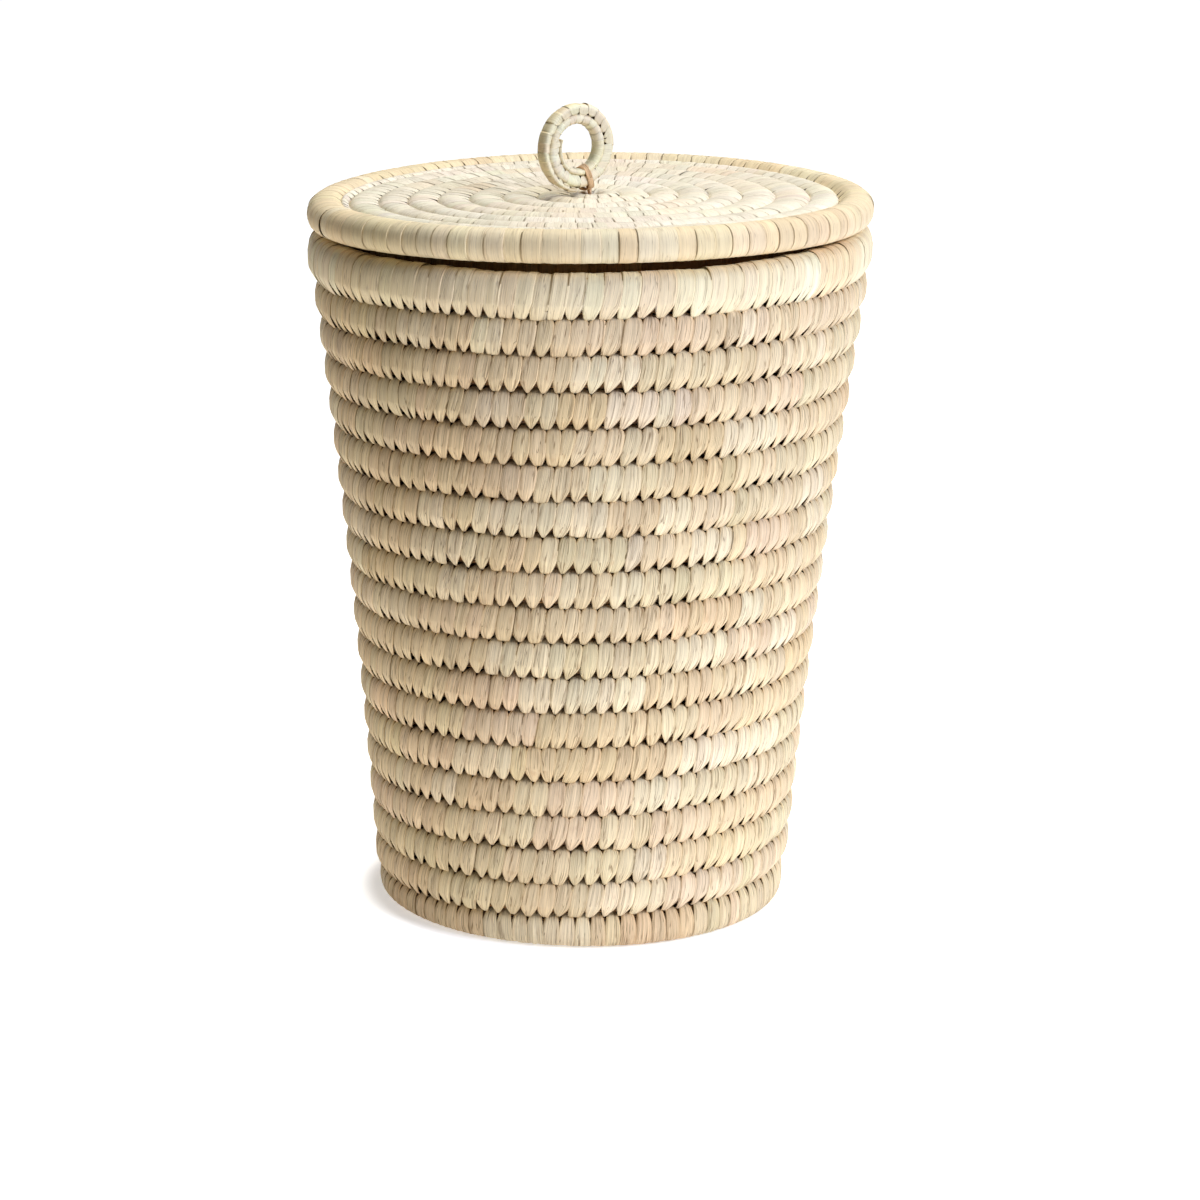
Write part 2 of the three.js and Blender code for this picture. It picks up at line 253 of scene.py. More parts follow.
@dataclass(frozen=True)
class PalmLeaf(Finish):
    """Dried palm leaf: long fine ribs, broader bands, a few folds and some stains.

    Each grain says how fine a pattern is across the strip and along it, and how much it
    changes from strip to strip.

    Args:
        rib_grain: The grain of the ribs.
        band_grain: The grain of the bands.
        fold_grain: The grain of the folds.
        stain_grain: The grain of the stains.
        rib_contrast: How much the ribs and the bands change the tone.
        strand_share: How much the deepest ribs darken.
        fold_share: How strong a fold is.
        stain_share: How strong a stain is.
        strand: What the tone is multiplied with in the deepest ribs.
        fold: The colour of a fold.
        stain: The colour of a stain.
        rib_weight: How much more the ribs change the tone than the bands do.
        strand_edge: A rib darkens below the second height, and in full below the first.
        fold_width: How wide a fold is, as a share of its grain.
        stain_edge: The wear stains from the first strength, and in full from the second.
        rise: How high the ribs and the bands stand, and how deep the folds lie.
        dryness: How much less gloss the ribs have than what lies between them.
    """

    rib_grain: Colour = (2.0, 0.04, 7.0)
    band_grain: Colour = (0.5, 0.012, 3.0)
    fold_grain: Colour = (0.36, 0.016, 11.0)
    stain_grain: Colour = (0.25, 0.09, 5.0)
    rib_contrast: float = 0.5
    strand_share: float = 0.5
    fold_share: float = 0.6
    stain_share: float = 0.3
    strand: Colour = (0.62, 0.5, 0.36)
    fold: Colour = linear(122, 84, 44)
    stain: Colour = linear(176, 128, 78)
    rib_weight: float = 1.6
    strand_edge: tuple[float, float] = (0.3, 0.5)
    fold_width: float = 0.022
    stain_edge: tuple[float, float] = (0.56, 0.78)
    rise: Colour = (0.6, 0.5, 0.7)
    dryness: float = 0.25

    def pattern(self, graph: Graph) -> tuple[Signal, Signal, Signal]:
        """Ribs and folds that run along the strip, and stains that come and go.

        Args:
            graph: The material's node tree.

        Returns:
            The colour, the change of roughness and the height.
        """
        tone = graph.attribute("leaf_tone", "Color")
        grain = graph.attribute("leaf_grain", "Vector")
        ribs = graph.noise(grain * self.rib_grain, 3.0)
        bands = graph.noise(grain * self.band_grain, 1.0)
        folds = graph.noise(grain * self.fold_grain, 2.0)
        wear = graph.noise(grain * self.stain_grain, 2.0)
        crease = 1 - graph.ramp(abs(folds - MIDDLE), 0.0, self.fold_width)
        shade = (1 + (ribs - MIDDLE) * self.rib_contrast * self.rib_weight
                 + (bands - MIDDLE) * self.rib_contrast)
        stained = graph.ramp(wear, *self.stain_edge) * self.stain_share
        colour = graph.blend(stained, tone, self.stain)
        strands = (1 - graph.ramp(ribs, *self.strand_edge)) * self.strand_share
        colour = graph.blend(strands, colour * shade, colour * self.strand)
        colour = graph.blend(crease * self.fold_share, colour, self.fold)
        height = ribs * self.rise[0] + bands * self.rise[1] - crease * self.rise[2]
        return colour, (ribs - MIDDLE) * self.dryness, height


@dataclass(frozen=True)
class PalmFibre(Finish):
    """The bundle inside the cords: coarse brown fibres that run along the cord.

    Args:
        grain: How fine the fibres are across the bundle, along it and from cord to cord.
        dark: The colour of most fibres.
        light: The colour of the few pale ones.
        pale_edge: A fibre turns pale from the first height, and in full from the second.
        dryness: How much less gloss the pale fibres have.
    """

    grain: Colour = (1.1, 0.03, 1.0)
    dark: Colour = linear(54, 29, 8)
    light: Colour = linear(158, 116, 62)
    pale_edge: tuple[float, float] = (0.42, 0.72)
    dryness: float = 0.2

    def pattern(self, graph: Graph) -> tuple[Signal, Signal, Signal]:
        """Strands that run along the cord, some pale and most dark.

        Args:
            graph: The material's node tree.

        Returns:
            The colour, the change of roughness and the height.
        """
        strands = graph.noise(graph.attribute("leaf_grain", "Vector") * self.grain, 3.0)
        colour = graph.blend(graph.ramp(strands, *self.pale_edge), self.dark, self.light)
        return colour, (strands - MIDDLE) * self.dryness, strands


# How far chance moves a tone: its cast for all strips of one leaf, and then for one strip its
# brightness and its cast. The limits keep any strip from standing out.
LEAF_CAST, LEAF_CAST_LIMITS = (0.01, 0.008, 0.015), (0.985, 1.015)
STRIP_BRIGHTNESS, STRIP_LIMITS = 0.05, (0.91, 1.06)
STRIP_CAST = 0.008
BRIGHTEST = 0.95


class Palette(Enum):
    """The tones that a batch of leaf strips is picked from, each with its share."""

    WALL = (
        (linear(233, 213, 175), 6), (linear(239, 223, 189), 4), (linear(231, 209, 169), 3),
        (linear(231, 214, 175), 3), (linear(229, 204, 161), 1), (linear(235, 212, 177), 2),
    )
    RIM = (
        (linear(250, 232, 196), 6), (linear(250, 235, 202), 4), (linear(248, 227, 188), 3),
        (linear(247, 231, 194), 2), (linear(243, 218, 177), 1),
    )
    # Partly painted shade: darker and more yellow than the lid's own tones, for the warmer shade
    # on the lid's side face.
    LID_RIM = (
        (linear(239, 220, 181), 6), (linear(242, 226, 191), 4), (linear(237, 215, 175), 3),
        (linear(236, 219, 179), 2), (linear(234, 212, 171), 1),
    )
    RING = (
        (linear(252, 243, 218), 5), (linear(252, 240, 211), 3), (linear(250, 241, 209), 2),
    )
    LID = (
        (linear(239, 229, 206), 6), (linear(243, 234, 213), 4), (linear(238, 225, 200), 3),
        (linear(238, 229, 204), 2), (linear(237, 221, 194), 1),
    )
    # Painted shade: dark brown tones for the locating ring, which lies in the shade under the lid.
    SHADED = (
        (linear(150, 112, 70), 3), (linear(170, 132, 86), 2), (linear(126, 88, 50), 2),
    )
    TAN = (
        (linear(226, 188, 146), 3), (linear(216, 172, 126), 1),
    )

    def pick(self, rng: np.random.Generator, count: int, batch: tuple[int, int]) -> np.ndarray:
        """Picks a tone for each strip, in batches that come from one leaf.

        Args:
            rng: The source of chance.
            count: How many strips there are.
            batch: The fewest strips to one leaf, and one more than the most.

        Returns:
            One linear colour for each strip.
        """
        tones = np.array([tone for tone, _ in self.value])
        odds = np.array([share for _, share in self.value], float)
        found: list[np.ndarray] = []
        while len(found) < count:
            tone = tones[rng.choice(len(tones), p=odds / odds.sum())]
            cast = np.clip(rng.normal(1.0, LEAF_CAST), *LEAF_CAST_LIMITS)
            found.extend([tone * cast] * int(rng.integers(*batch)))
        spread = np.clip(rng.normal(1.0, STRIP_BRIGHTNESS, (count, 1)), *STRIP_LIMITS)
        spread = spread * rng.normal(1.0, STRIP_CAST, (count, 3))
        return np.clip(np.array(found[:count]) * spread, 0, BRIGHTEST)


WALL_LEAF = PalmLeaf("wall_leaf")
RIM_LEAF = PalmLeaf("rim_leaf", grain_depth=0.45, stain_share=0.14, rib_contrast=0.34,
                    strand_share=0.24, fold_share=0.4)
LID_LEAF = PalmLeaf("lid_leaf", grain_depth=0.35, stain_share=0.12, rib_contrast=0.2,
                    strand_share=0.22, fold_share=0.26)
RING_LEAF = PalmLeaf("ring_leaf", grain_depth=0.3, stain_share=0.04, rib_contrast=0.14,
                     strand_share=0.08, fold_share=0.16)
# Painted shade: the locating ring's darker leaf, with a darker stain.
SHADED_LEAF = PalmLeaf("shaded_leaf", roughness=0.72, stain=linear(96, 62, 34))
TAN_LEAF = PalmLeaf("tan_leaf", stain=linear(140, 84, 40))
FIBRE = PalmFibre("fibre", roughness=0.8, grain_depth=0.8)


# ---- Meshes ----

# The map gives each strip a patch, which is about this many times as long as it is wide and
# keeps a margin. The faces that close the strip's ends lie in the margin.
PATCH_LENGTH = 6
PATCH_MARGIN = 0.03
END_RADIUS, END_CENTRE, END_STEP = 0.01, 0.014, (0.0, 0.97)


def carried(points: np.ndarray, matrix: Matrix) -> np.ndarray:
    """Points moved by a matrix."""
    return points @ np.array(matrix.to_3x3()).T + np.array(matrix.translation)


def squared(angle: np.ndarray, squareness: np.ndarray | float) -> tuple[np.ndarray, ...]:
    """A circle drawn out to a square, as places across and up. At 2 it stays round."""
    sides = (np.cos(angle), np.sin(angle))
    return tuple(np.sign(side) * np.abs(side) ** (2 / squareness) for side in sides)


@dataclass
class Bands:
    """Tubes or strips of one kind, each a run of rings with the same number of corners.

    Args:
        points: Corner places in millimetres: strip, ring, corner, and then x, y and z.
        tones: A colour for each strip, or for each of its corners.
        grain: Across, along and a number of its own for each corner.
        columns: How many strips lie side by side on the map, or 0 for as many as suit.
    """

    points: np.ndarray
    tones: np.ndarray
    grain: np.ndarray
    columns: int = 0

    def piece(self, name: str, finish: Finish) -> bpy.types.Object:
        """Makes one Blender object of the strips.

        Args:
            name: The piece's name.
            finish: The finish that it wears.

        Returns:
            The object.
        """
        strips, rings, corners = self.points.shape[:3]
        loops, totals = self._faces()
        mesh = bpy.data.meshes.new(name)
        mesh.vertices.add(strips * rings * corners)
        mesh.vertices.foreach_set("co", (self.points * MM).astype(np.float32).ravel())
        mesh.loops.add(len(loops))
        mesh.loops.foreach_set("vertex_index", loops)
        mesh.polygons.add(len(totals))
        first = np.concatenate([[0], np.cumsum(totals)[:-1]]).astype(np.int32)
        mesh.polygons.foreach_set("loop_start", first)
        mesh.polygons.foreach_set("loop_total", totals)
        mesh.polygons.foreach_set("use_smooth", np.ones(len(totals), bool))
        mesh.update(calc_edges=True)

        tone = mesh.attributes.new("leaf_tone", "FLOAT_COLOR", "POINT")
        colours = np.ones((strips, rings, corners, 4), np.float32)
        colours[..., :3] = self.tones if self.tones.ndim == 4 else self.tones[:, None, None, :]
        tone.data.foreach_set("color", colours.ravel())
        grain = mesh.attributes.new("leaf_grain", "FLOAT_VECTOR", "POINT")
        grain.data.foreach_set("vector", self.grain.astype(np.float32).ravel())
        layer = mesh.uv_layers.new(name=BAKE_MAP)
        layer.uv.foreach_set("vector", self._map().astype(np.float32).ravel())
        mesh.validate()
        mesh.materials.append(finish.material())
        made = bpy.data.objects.new(name, mesh)
        bpy.context.scene.collection.objects.link(made)
        return made

    def _faces(self) -> tuple[np.ndarray, np.ndarray]:
        """Joins the rings by faces of four corners, and closes both ends of each strip.

        Returns:
            The corners of all faces, one face after the other, and how many each face has.
        """
        strips, rings, corners = self.points.shape[:3]
        ring, corner = np.meshgrid(np.arange(rings - 1), np.arange(corners), indexing="ij")
        low, high, after = ring * corners, (ring + 1) * corners, (corner + 1) % corners
        quads = np.stack([low + corner, low + after, high + after, high + corner], -1)
        around = np.arange(corners)
        caps = np.stack([around[::-1], (rings - 1) * corners + around])
        starts = np.arange(strips)[:, None] * rings * corners
        loops = np.concatenate([(part.reshape(-1) + starts).ravel() for part in (quads, caps)])
        totals = np.repeat([4, corners], [strips * (rings - 1) * corners, strips * 2])
        return loops.astype(np.int32), totals.astype(np.int32)

    def _map(self) -> np.ndarray:
        """Lays each strip on a patch of its own on one map, so that finishes can be stored.

        Returns:
            A place on the map for each corner of each face.
        """
        strips, rings, corners = self.points.shape[:3]
        columns = min(self.columns or max(1, round(math.sqrt(strips * PATCH_LENGTH))), strips)
        rows = math.ceil(strips / columns)
        ring, corner = np.meshgrid(np.arange(rings - 1), np.arange(corners), indexing="ij")
        across = np.stack([corner, corner + 1, corner + 1, corner], -1) / corners
        along = np.stack([ring, ring, ring + 1, ring + 1], -1) / (rings - 1)
        patch = np.stack([across, along], -1) * (1 - 2 * PATCH_MARGIN) + PATCH_MARGIN
        turn = 2 * np.pi * np.arange(corners) / corners
        spot = np.stack([np.cos(turn), np.sin(turn)], -1) * END_RADIUS + END_CENTRE
        ends = np.concatenate([spot, spot + END_STEP])
        strip = np.arange(strips)
        shift = np.stack([strip % columns, strip // columns], -1)[:, None, :]
        scale = np.array([columns, rows], float)
        return np.concatenate([
            ((part.reshape(-1, 2) + shift) / scale).reshape(-1, 2) for part in (patch, ends)])


# ---- Cords and stitches ----

# A maker's hand, in shares of the pitch: how far apart the first stitches are, how far chance
# moves a head, a tip and the choice of a valley that gets two tips, how far apart those two
# are, and the least and the most that a strip reaches to one side.
FIRST_SPACING = (0.93, 1.07)
HEAD_CHANCE, TIP_CHANCE, VALLEY_CHANCE = 0.035, 0.07, 0.05
PAIR_GAP = 0.3
WIDTH_LIMITS = (0.2, 0.9)
EVENING_ROUNDS = 12  # how often the heads of a new row are evened out

# How far chance changes the point of a tip, with its limits, the share of the cord's half
# height that it starts from, and how far chance moves a strip up or down.
POINT_CHANCE, POINT_LIMITS, POINT_TOP = 0.5, (0.3, 2.0), 0.2
HEIGHT_CHANCE = 0.3

# The bundle: how far under the strips it lies, and at most as a share of the cord; how far
# and over how many turns it sinks down to the row before; over what length its ends are
# rounded, and how blunt they are; how far its strands stand out and wander, and in how many
# waves; the half height below which they stand out less; how many fibres go round it; and
# the tone that its mesh carries.
BUNDLE_INSET, DEEPEST_INSET = 0.55, 0.3
BUNDLE_SINK, SINK_TURNS = 0.25, 0.12
ROUNDED_LENGTH, BLUNTNESS = 7, 0.02
STRAND_RELIEF, STRAND_WANDER, STRAND_WAVES = 0.3, 0.05, 3
THIN_BUNDLE = 3
FIBRES_ROUND = 60
FIBRE_TONE = linear(92, 62, 34)
ANY_PHASE = 6.3  # chance shifts a wave by up to this, about one whole wave
SAME_PLACE = 1e-5  # two rings that lie closer than this, in turns, are one

# A strip's way into the row before, in shares of the cord's half height: where it leaves the
# cord, how its way then curves, and how steeply and how close to its tip it dives. Where a
# cord thins out, its tips reach as far as those of a cord of LEAST_REACH times its usual
# height. A strip that goes right round its cord laps over its own end.
LEAVING, WAY_CURVE = 0.5, 1.35
DIVE, DIVE_START = 16, 0.02
LEAST_REACH = 0.6
LAPPED_END = 1.04

# A strip's section: how late its face falls off towards the edges, how far at full width, and
# how much further where it is narrow; below what height a cord has thinner strips, and how
# thin at least; how high a ripple stands, and what is left of it where the strip is narrow;
# and how deep its back lies at the tip, and how much deeper at full width.
EDGE_CURVE, EDGE_FALL, NARROW_FALL = 4.0, 0.4, 1.4
THIN_CORD, THINNEST = 8, 0.2
HIGHEST_RIPPLE, NARROW_RIPPLE = 0.12, 0.4
BACK_DEPTH, BACK_HOLLOW = 0.3, 0.25
SHORTEST = 1e-6  # the least step along a strip that still gives a direction
GRAIN_SEEDS = 50  # how far apart the places are that strips can take their grain from

# A strip's corners from edge to edge, with the one at its back last.
CORNERS = np.array([-1.0, -0.82, -0.58, -0.3, 0.0, 0.3, 0.58, 0.82, 1.0, 0.0])

# Painted shade: how much red, green and blue a strip loses where it is fully shaded, and how
# shaded its edges are at the tip and how much more so on the crown.
SHADE_LOSS = (0.15, 0.29, 0.5)
EDGE_SHADE, CROWN_EDGE_SHADE = 0.35, 0.55


class Growth(Enum):
    """Which way the rows of a cord are added."""

    UP = "each row lies on top of the one before"
    OUT = "each row lies round the one before"


@dataclass
class Edges:
    """The box that a cord's section fills, with one value for each turn asked for.

    Args:
        inner: The radius of its inner face.
        outer: The radius of its outer face.
        bottom: The height of its underside.
        top: The height of its upper side.
    """

    inner: np.ndarray
    outer: np.ndarray
    bottom: np.ndarray
    top: np.ndarray

    def sides(self, growth: Growth) -> tuple[np.ndarray, np.ndarray, np.ndarray, np.ndarray]:
        """The same box as low and high along the growth, then back and face across it."""
        upright, level = (self.bottom, self.top), (self.inner, self.outer)
        return upright + level if growth is Growth.UP else level + upright


@dataclass(frozen=True)
class StitchStyle:
    """How leaf strips lie on a cord.

    Args:
        pitch: From one stitch to the next.
        leaf: How far the middle of a strip stands off the bundle.
        squareness: How square the cord's section is towards its crown: 2 is round.
        fullness: How square it is towards the row before.
        head: A strip's width over the crown of the cord, as a share of its full width.
        taper: How much a strip narrows towards its tip: 0 is not at all.
        reach: How far a tip passes into the row before, as a share of the cord's half height.
        lean: How far a tip lies behind the head, as a share of the pitch.
        crown: How much lower a strip's edges lie than its middle.
        lap: How much lower the edge is that lies under the next strip.
        ripple: How uneven a strip's face is.
        spread: A strip's width as a share of the pitch.
        point: How early a tip narrows: 1 from half way up, and near 0 only at its end.
        crown_shading: How much painted shade darkens and browns the strips over the crown of the
            cord.
        edge_shading: How much painted shade darkens and browns their edges.
        wraps: True where the strips go right round the cord.
    """

    pitch: float = 10.5
    leaf: float = 1.35
    squareness: float = 2.3
    fullness: float = 3.0
    head: float = 0.44
    taper: float = 1.0
    reach: float = 0.27
    lean: float = 0.38
    crown: float = 0.7
    lap: float = 0.16
    ripple: float = 0.26
    spread: float = 1.08
    point: float = 0.7
    crown_shading: float = 0.2
    edge_shading: float = 1.0
    wraps: bool = False

    def shares(self) -> tuple[np.ndarray, np.ndarray]:
        """Where a strip has its rings, from its tip up to the crown, and how wide it is.

        Returns:
            Heights as shares of the cord's half height, and widths as shares.
        """
        if self.wraps:
            heights = (-0.9, -1.0, -0.985, -0.93, -0.8, -0.6, -0.3, 0.0, 0.3, 0.52, 0.72, 0.87,
                       0.96, 1.0)
            lost = np.array([0, 0, 0, 0, 0, 0, 0.02, 0.05, 0.12, 0.24, 0.4])
            widths = 1 - (1 - self.head) * lost
        else:
            tip = -1 - self.reach
            low = np.array([1.24, 1.0, 0.84, 0.68, 0.52, 0.34, 0.16, 0.0])
            heights = np.concatenate([
                -0.42 + (tip + 0.42) * low, [0.1, 0.5, 0.7, 0.86, 0.96, 1.0]])
            lost = np.array([0.82, 0.68, 0.54, 0.41, 0.28, 0.16, 0.07, 0.01, 0, 0.01, 0])
            widths = 1 - lost * self.taper
            widths[-1] = 1 - (1 - self.head) * 0.22
        rest = 1 - (1 - self.head) * np.array([0.6, 0.88, 1.0])
        return np.array(heights), np.concatenate([widths, rest])

    def swing(self, share: np.ndarray) -> np.ndarray:
        """How far a strip has come at each share, from 0 on the crown to 1 at its tip."""
        return (np.clip(1 - share, 0, None) / (2 + self.reach)) ** 1.7


@dataclass
class Stitches:
    """Where each stitch of a cord has its two ends, in turns.

    Args:
        heads: Where it lies on the crown of its own cord.
        tips: Where it enters the row before.
    """

    heads: np.ndarray
    tips: np.ndarray

    @classmethod
    def lay(cls, first: float, last: float, per_turn: Callable[[float], float],
            lean: float, rng: np.random.Generator) -> "Stitches":
        """Lays stitches along a cord, each with its tip between two stitches of the row before.

        Args:
            first: The turn that the cord starts at.
            last: The turn that it ends at.
            per_turn: Gives the number of stitches to a turn at each turn.
            lean: How far a tip lies behind the head, as a share of the pitch.
            rng: The source of chance.

        Returns:
            The stitches, in order.
        """
        heads = [first + 0.5 / per_turn(first)]
        while heads[-1] < min(first + 1, last):
            heads.append(heads[-1] + rng.uniform(*FIRST_SPACING) / per_turn(heads[-1]))
        tips = [head - lean / per_turn(head) for head in heads]
        row_start = 0
        while heads[-1] < last and row_start < len(heads) - 2:
            row = np.array(heads[row_start:])
            valleys = (row[1:] + row[:-1]) / 2 + 1
            row_start = len(heads) - 1
            pitch = 1 / per_turn(float(valleys.mean()))
            found = cls._share_out(valleys, pitch, rng)
            evened = np.concatenate([[heads[-1]], found + lean * pitch])
            for _ in range(EVENING_ROUNDS):
                evened[1:-1] += ((evened[2:] + evened[:-2]) / 2 - evened[1:-1]) * 0.5
            heads.extend(evened[1:].tolist())
            tips.extend(found.tolist())
        keep = np.array(heads) < last
        return cls(np.array(heads)[keep], np.array(tips)[keep])

    @staticmethod
    def _share_out(valleys: np.ndarray, pitch: float, rng: np.random.Generator) -> np.ndarray:
        """Puts a tip into each valley, and a second one into the widest if the circle grows.

        Args:
            valleys: The places between the stitches of the row before.
            pitch: From one stitch to the next, in turns.
            rng: The source of chance.

        Returns:
            The places of the tips.
        """
        extra = max(0, round((valleys[-1] - valleys[0]) / pitch) - len(valleys))
        room = np.gradient(valleys) / pitch + rng.normal(0, VALLEY_CHANCE, len(valleys))
        room[[0, -1]] = 0
        tips_in = np.full(len(valleys), 1 + extra // len(valleys))
        tips_in[np.argsort(room)[len(room) - extra % len(room):]] += 1
        rank = np.arange(tips_in.sum()) - np.repeat(np.cumsum(tips_in) - tips_in, tips_in)
        return np.repeat(valleys, tips_in) + PAIR_GAP * pitch * rank


@dataclass
class StripLines:
    """The lines that the middles of the strips follow, with a value for each stitch and ring.

    Args:
        along: Places along the growth.
        across: Places across it.
        width: The strip's width as a share of its full width.
        turn: The turn.
        share: The height over the cord's middle, as a share of the cord's half height.
    """

    along: np.ndarray
    across: np.ndarray
    width: np.ndarray
    turn: np.ndarray
    share: np.ndarray


@dataclass
class Cord:
    """A bundle of palm fibre that is wound round an axis, with the strips that stitch it.

    Args:
        node: The solid that the cord stands for.
        body: The moving part that it belongs to.
        slot: The record's name for its finish. Not used.
        growth: Which way its rows are added.
        style: How its strips lie.
        palette: The tones of its strips.
        finish: The finish of its strips.
        first_turn: Where it starts.
        last_turn: Where it ends.
        matrix: Where its own axes lie in the basket, in millimetres.
        split: How many turns go into one piece of stitches.
        seed: The number that chance starts from.
        strands: How many strands show round its bundle.
        stride: From one ring of the bundle to the next.
        batch: The fewest strips that come from one leaf, and one more than the most.
    """

    node: str
    body: str
    slot: str
    growth: Growth
    style: StitchStyle
    palette: Palette
    finish: Finish
    first_turn: float
    last_turn: float
    matrix: Matrix = field(default_factory=Matrix)
    split: float = 1.0
    seed: int = 1
    strands: int = 26
    stride: float = 7.0
    batch: tuple[int, int] = (1, 6)

    def edges(self, turns: np.ndarray) -> Edges:
        """The box that the cord fills at each turn."""
        raise NotImplementedError

    def edges_before(self, turns: np.ndarray) -> Edges:
        """The box of the row that the stitches enter: the same cord, one turn earlier."""
        return self.edges(np.where(turns - 1 > self.first_turn, turns - 1, turns))

    def lift(self, x: np.ndarray, y: np.ndarray) -> np.ndarray:
        """How far a point is raised by its place. Most cords have none."""
        return np.zeros_like(x)

    def drift(self, radius: np.ndarray) -> np.ndarray:
        """How far a point is moved to the left by its radius. Most cords have none."""
        return np.zeros_like(radius)

    def middle_radius(self, turns: np.ndarray) -> np.ndarray:
        """The radius of the cord's own line."""
        edges = self.edges(np.asarray(turns, float))
        return (edges.inner + edges.outer) / 2

    def per_turn(self, turn: float) -> float:
        """The number of stitches to a turn."""
        return float(2 * np.pi * self.middle_radius(np.array([turn]))[0] / self.style.pitch)

    def place(self, along: np.ndarray, across: np.ndarray, turns: np.ndarray) -> np.ndarray:
        """Puts points that are given in the cord's own section into the basket.

        Args:
            along: Places along the growth, a height or a radius.
            across: Places across it, a radius or a height.
            turns: The turn of each point.

        Returns:
            Places in the basket.
        """
        radius, height = (across, along) if self.growth is Growth.UP else (along, across)
        angle = 2 * np.pi * (turns + BACK)
        x = radius * np.cos(angle) - self.drift(radius)
        y = radius * np.sin(angle)
        return carried(np.stack([x, y, height + self.lift(x, y)], -1), self.matrix)

    def fall(self, share: np.ndarray, half: np.ndarray) -> np.ndarray:
        """How far the rounded section falls in at a share of its half height."""
        power = np.where(share < 0, self.style.fullness, self.style.squareness)
        return half * (1 - (1 - np.clip(np.abs(share), 0, 1) ** power) ** (1 / power))

    def build_bundle(self) -> Bands:
        """Winds the bundle: one unbroken tube with strands along it and rounded ends.

        Returns:
            One tube.
        """
        turns = self._bundle_turns()
        low, high, back, face = (
            side[:, None] for side in self.edges(turns).sides(self.growth))
        inset = np.minimum(self.style.leaf + BUNDLE_INSET, (high - low) * DEEPEST_INSET)
        open_side = np.clip((turns - self.wrapped_until()) / SINK_TURNS, 0, 1)[:, None]
        open_side = open_side * (not self.style.wraps)
        floor = inset * (1 - open_side) - np.minimum(BUNDLE_SINK, inset) * open_side
        low, high = low + floor, high - inset
        half_long, half_wide = (high - low) / 2, (face - back) / 2 - inset
        angle = 2 * np.pi * np.arange(self.strands) / self.strands
        below = (np.sin(angle) < 0) & (not self.style.wraps)
        wide, long = squared(angle, np.where(below, 2.0, self.style.squareness))
        length = (turns - turns[0]) * 2 * np.pi * self.middle_radius(turns)
        left = np.minimum(length, length[-1] - length)[:, None]
        rounding = np.sqrt(1 - (1 - np.clip(left / ROUNDED_LENGTH + BLUNTNESS, 0, 1)) ** 2)
        relief = self._strand_relief(len(turns)) / np.maximum(half_long, THIN_BUNDLE)
        grow = rounding * (1 + relief)
        along = (low + high) / 2 + half_long * long * grow
        across = (back + face) / 2 + half_wide * wide * grow
        points = self.place(along, across, np.broadcast_to(turns[:, None], along.shape))
        round_it = angle / (2 * np.pi) * FIBRES_ROUND
        grain = np.stack(np.broadcast_arrays(round_it, length[:, None], 0 * along), -1)
        if self.growth is Growth.UP:
            points, grain = points[:, ::-1], grain[:, ::-1]
        return Bands(points[None], np.array([FIBRE_TONE]), grain[None], columns=1)

    def _bundle_turns(self) -> np.ndarray:
        """Finds where the bundle has its rings, one stride apart.

        Returns:
            The turn of each ring.
        """
        turns = [self.first_turn]
        while turns[-1] < self.last_turn:
            turns.append(turns[-1] + self.stride / (2 * np.pi * self.middle_radius(turns[-1])))
        turns = np.minimum(np.array(turns), self.last_turn)
        return turns[:-1] if turns[-1] - turns[-2] < SAME_PLACE else turns

    def _strand_relief(self, rings: int) -> np.ndarray:
        """Lets the strands wander in and out along the cord, and end as they began.

        Args:
            rings: How many rings the bundle has.

        Returns:
            How far each strand stands out at each ring.
        """
        rng = np.random.default_rng(self.seed)
        wander = rng.normal(0, STRAND_WANDER, (rings, self.strands)).cumsum(0)
        wander -= np.linspace(0, 1, rings)[:, None] * wander[-1]
        phases = rng.uniform(0, ANY_PHASE, self.strands)
        return STRAND_RELIEF * np.sin(wander * STRAND_WAVES + phases)

    def strip_lines(self, stitches: Stitches) -> StripLines:
        """The lines that the strips follow: from tip to crown, and down to the tip behind.

        Args:
            stitches: The stitches.

        Returns:
            The lines.
        """
        heights, widths = self.style.shares()
        low, high, back, face = self.edges(stitches.heads).sides(self.growth)
        _, _, back_before, face_before = self.edges_before(stitches.heads).sides(self.growth)
        half_long, half_wide = ((high - low) / 2)[:, None], ((face - back) / 2)[:, None]
        share = np.broadcast_to(heights, (len(stitches.heads), len(heights)))
        reaching = np.maximum(half_long, np.median(half_long) * LEAST_REACH)
        along = (((high + low) / 2)[:, None] + half_long * np.maximum(share, -1)
                 + reaching * np.minimum(share + 1, 0))
        front, rear = (self._side_depth(share, half_wide, step[:, None])
                       for step in (face - face_before, back_before - back))
        front, rear = face[:, None] - front, back[:, None] + rear
        along, across, share = (np.concatenate([up, down[:, -2::-1]], 1) for up, down in (
            (along, along), (front, rear), (share, share)))
        width = np.broadcast_to(np.concatenate([widths, widths[-2::-1]]), along.shape)
        lean = (stitches.tips - stitches.heads)[:, None] * self.style.swing(share)
        return StripLines(along, across, width, stitches.heads[:, None] + lean, share)

    def _side_depth(self, share: np.ndarray, half_wide: np.ndarray,
                    step: np.ndarray) -> np.ndarray:
        """How deep a strip lies under one side of the cord's box, down into the row before.

        Args:
            share: Heights as shares of the cord's half height.
            half_wide: Half of the cord's width.
            step: How much further in the row before lies.

        Returns:
            The depth at each height.
        """
        own = self.fall(share, half_wide)
        if self.style.wraps:
            return np.where(np.arange(share.shape[1]) == 0, half_wide * LAPPED_END, own)
        enter = 1 + self.style.reach - DIVE_START
        start = self.fall(np.array(-LEAVING), half_wide)
        end = self.fall(np.array(1 - self.style.reach), half_wide) + step
        run = np.clip((-share - LEAVING) / (enter - LEAVING), 0, 2)
        sunk = np.clip(-share - enter, 0, None) * DIVE
        return np.where(share < -LEAVING, start + (end - start) * run**WAY_CURVE + sunk, own)

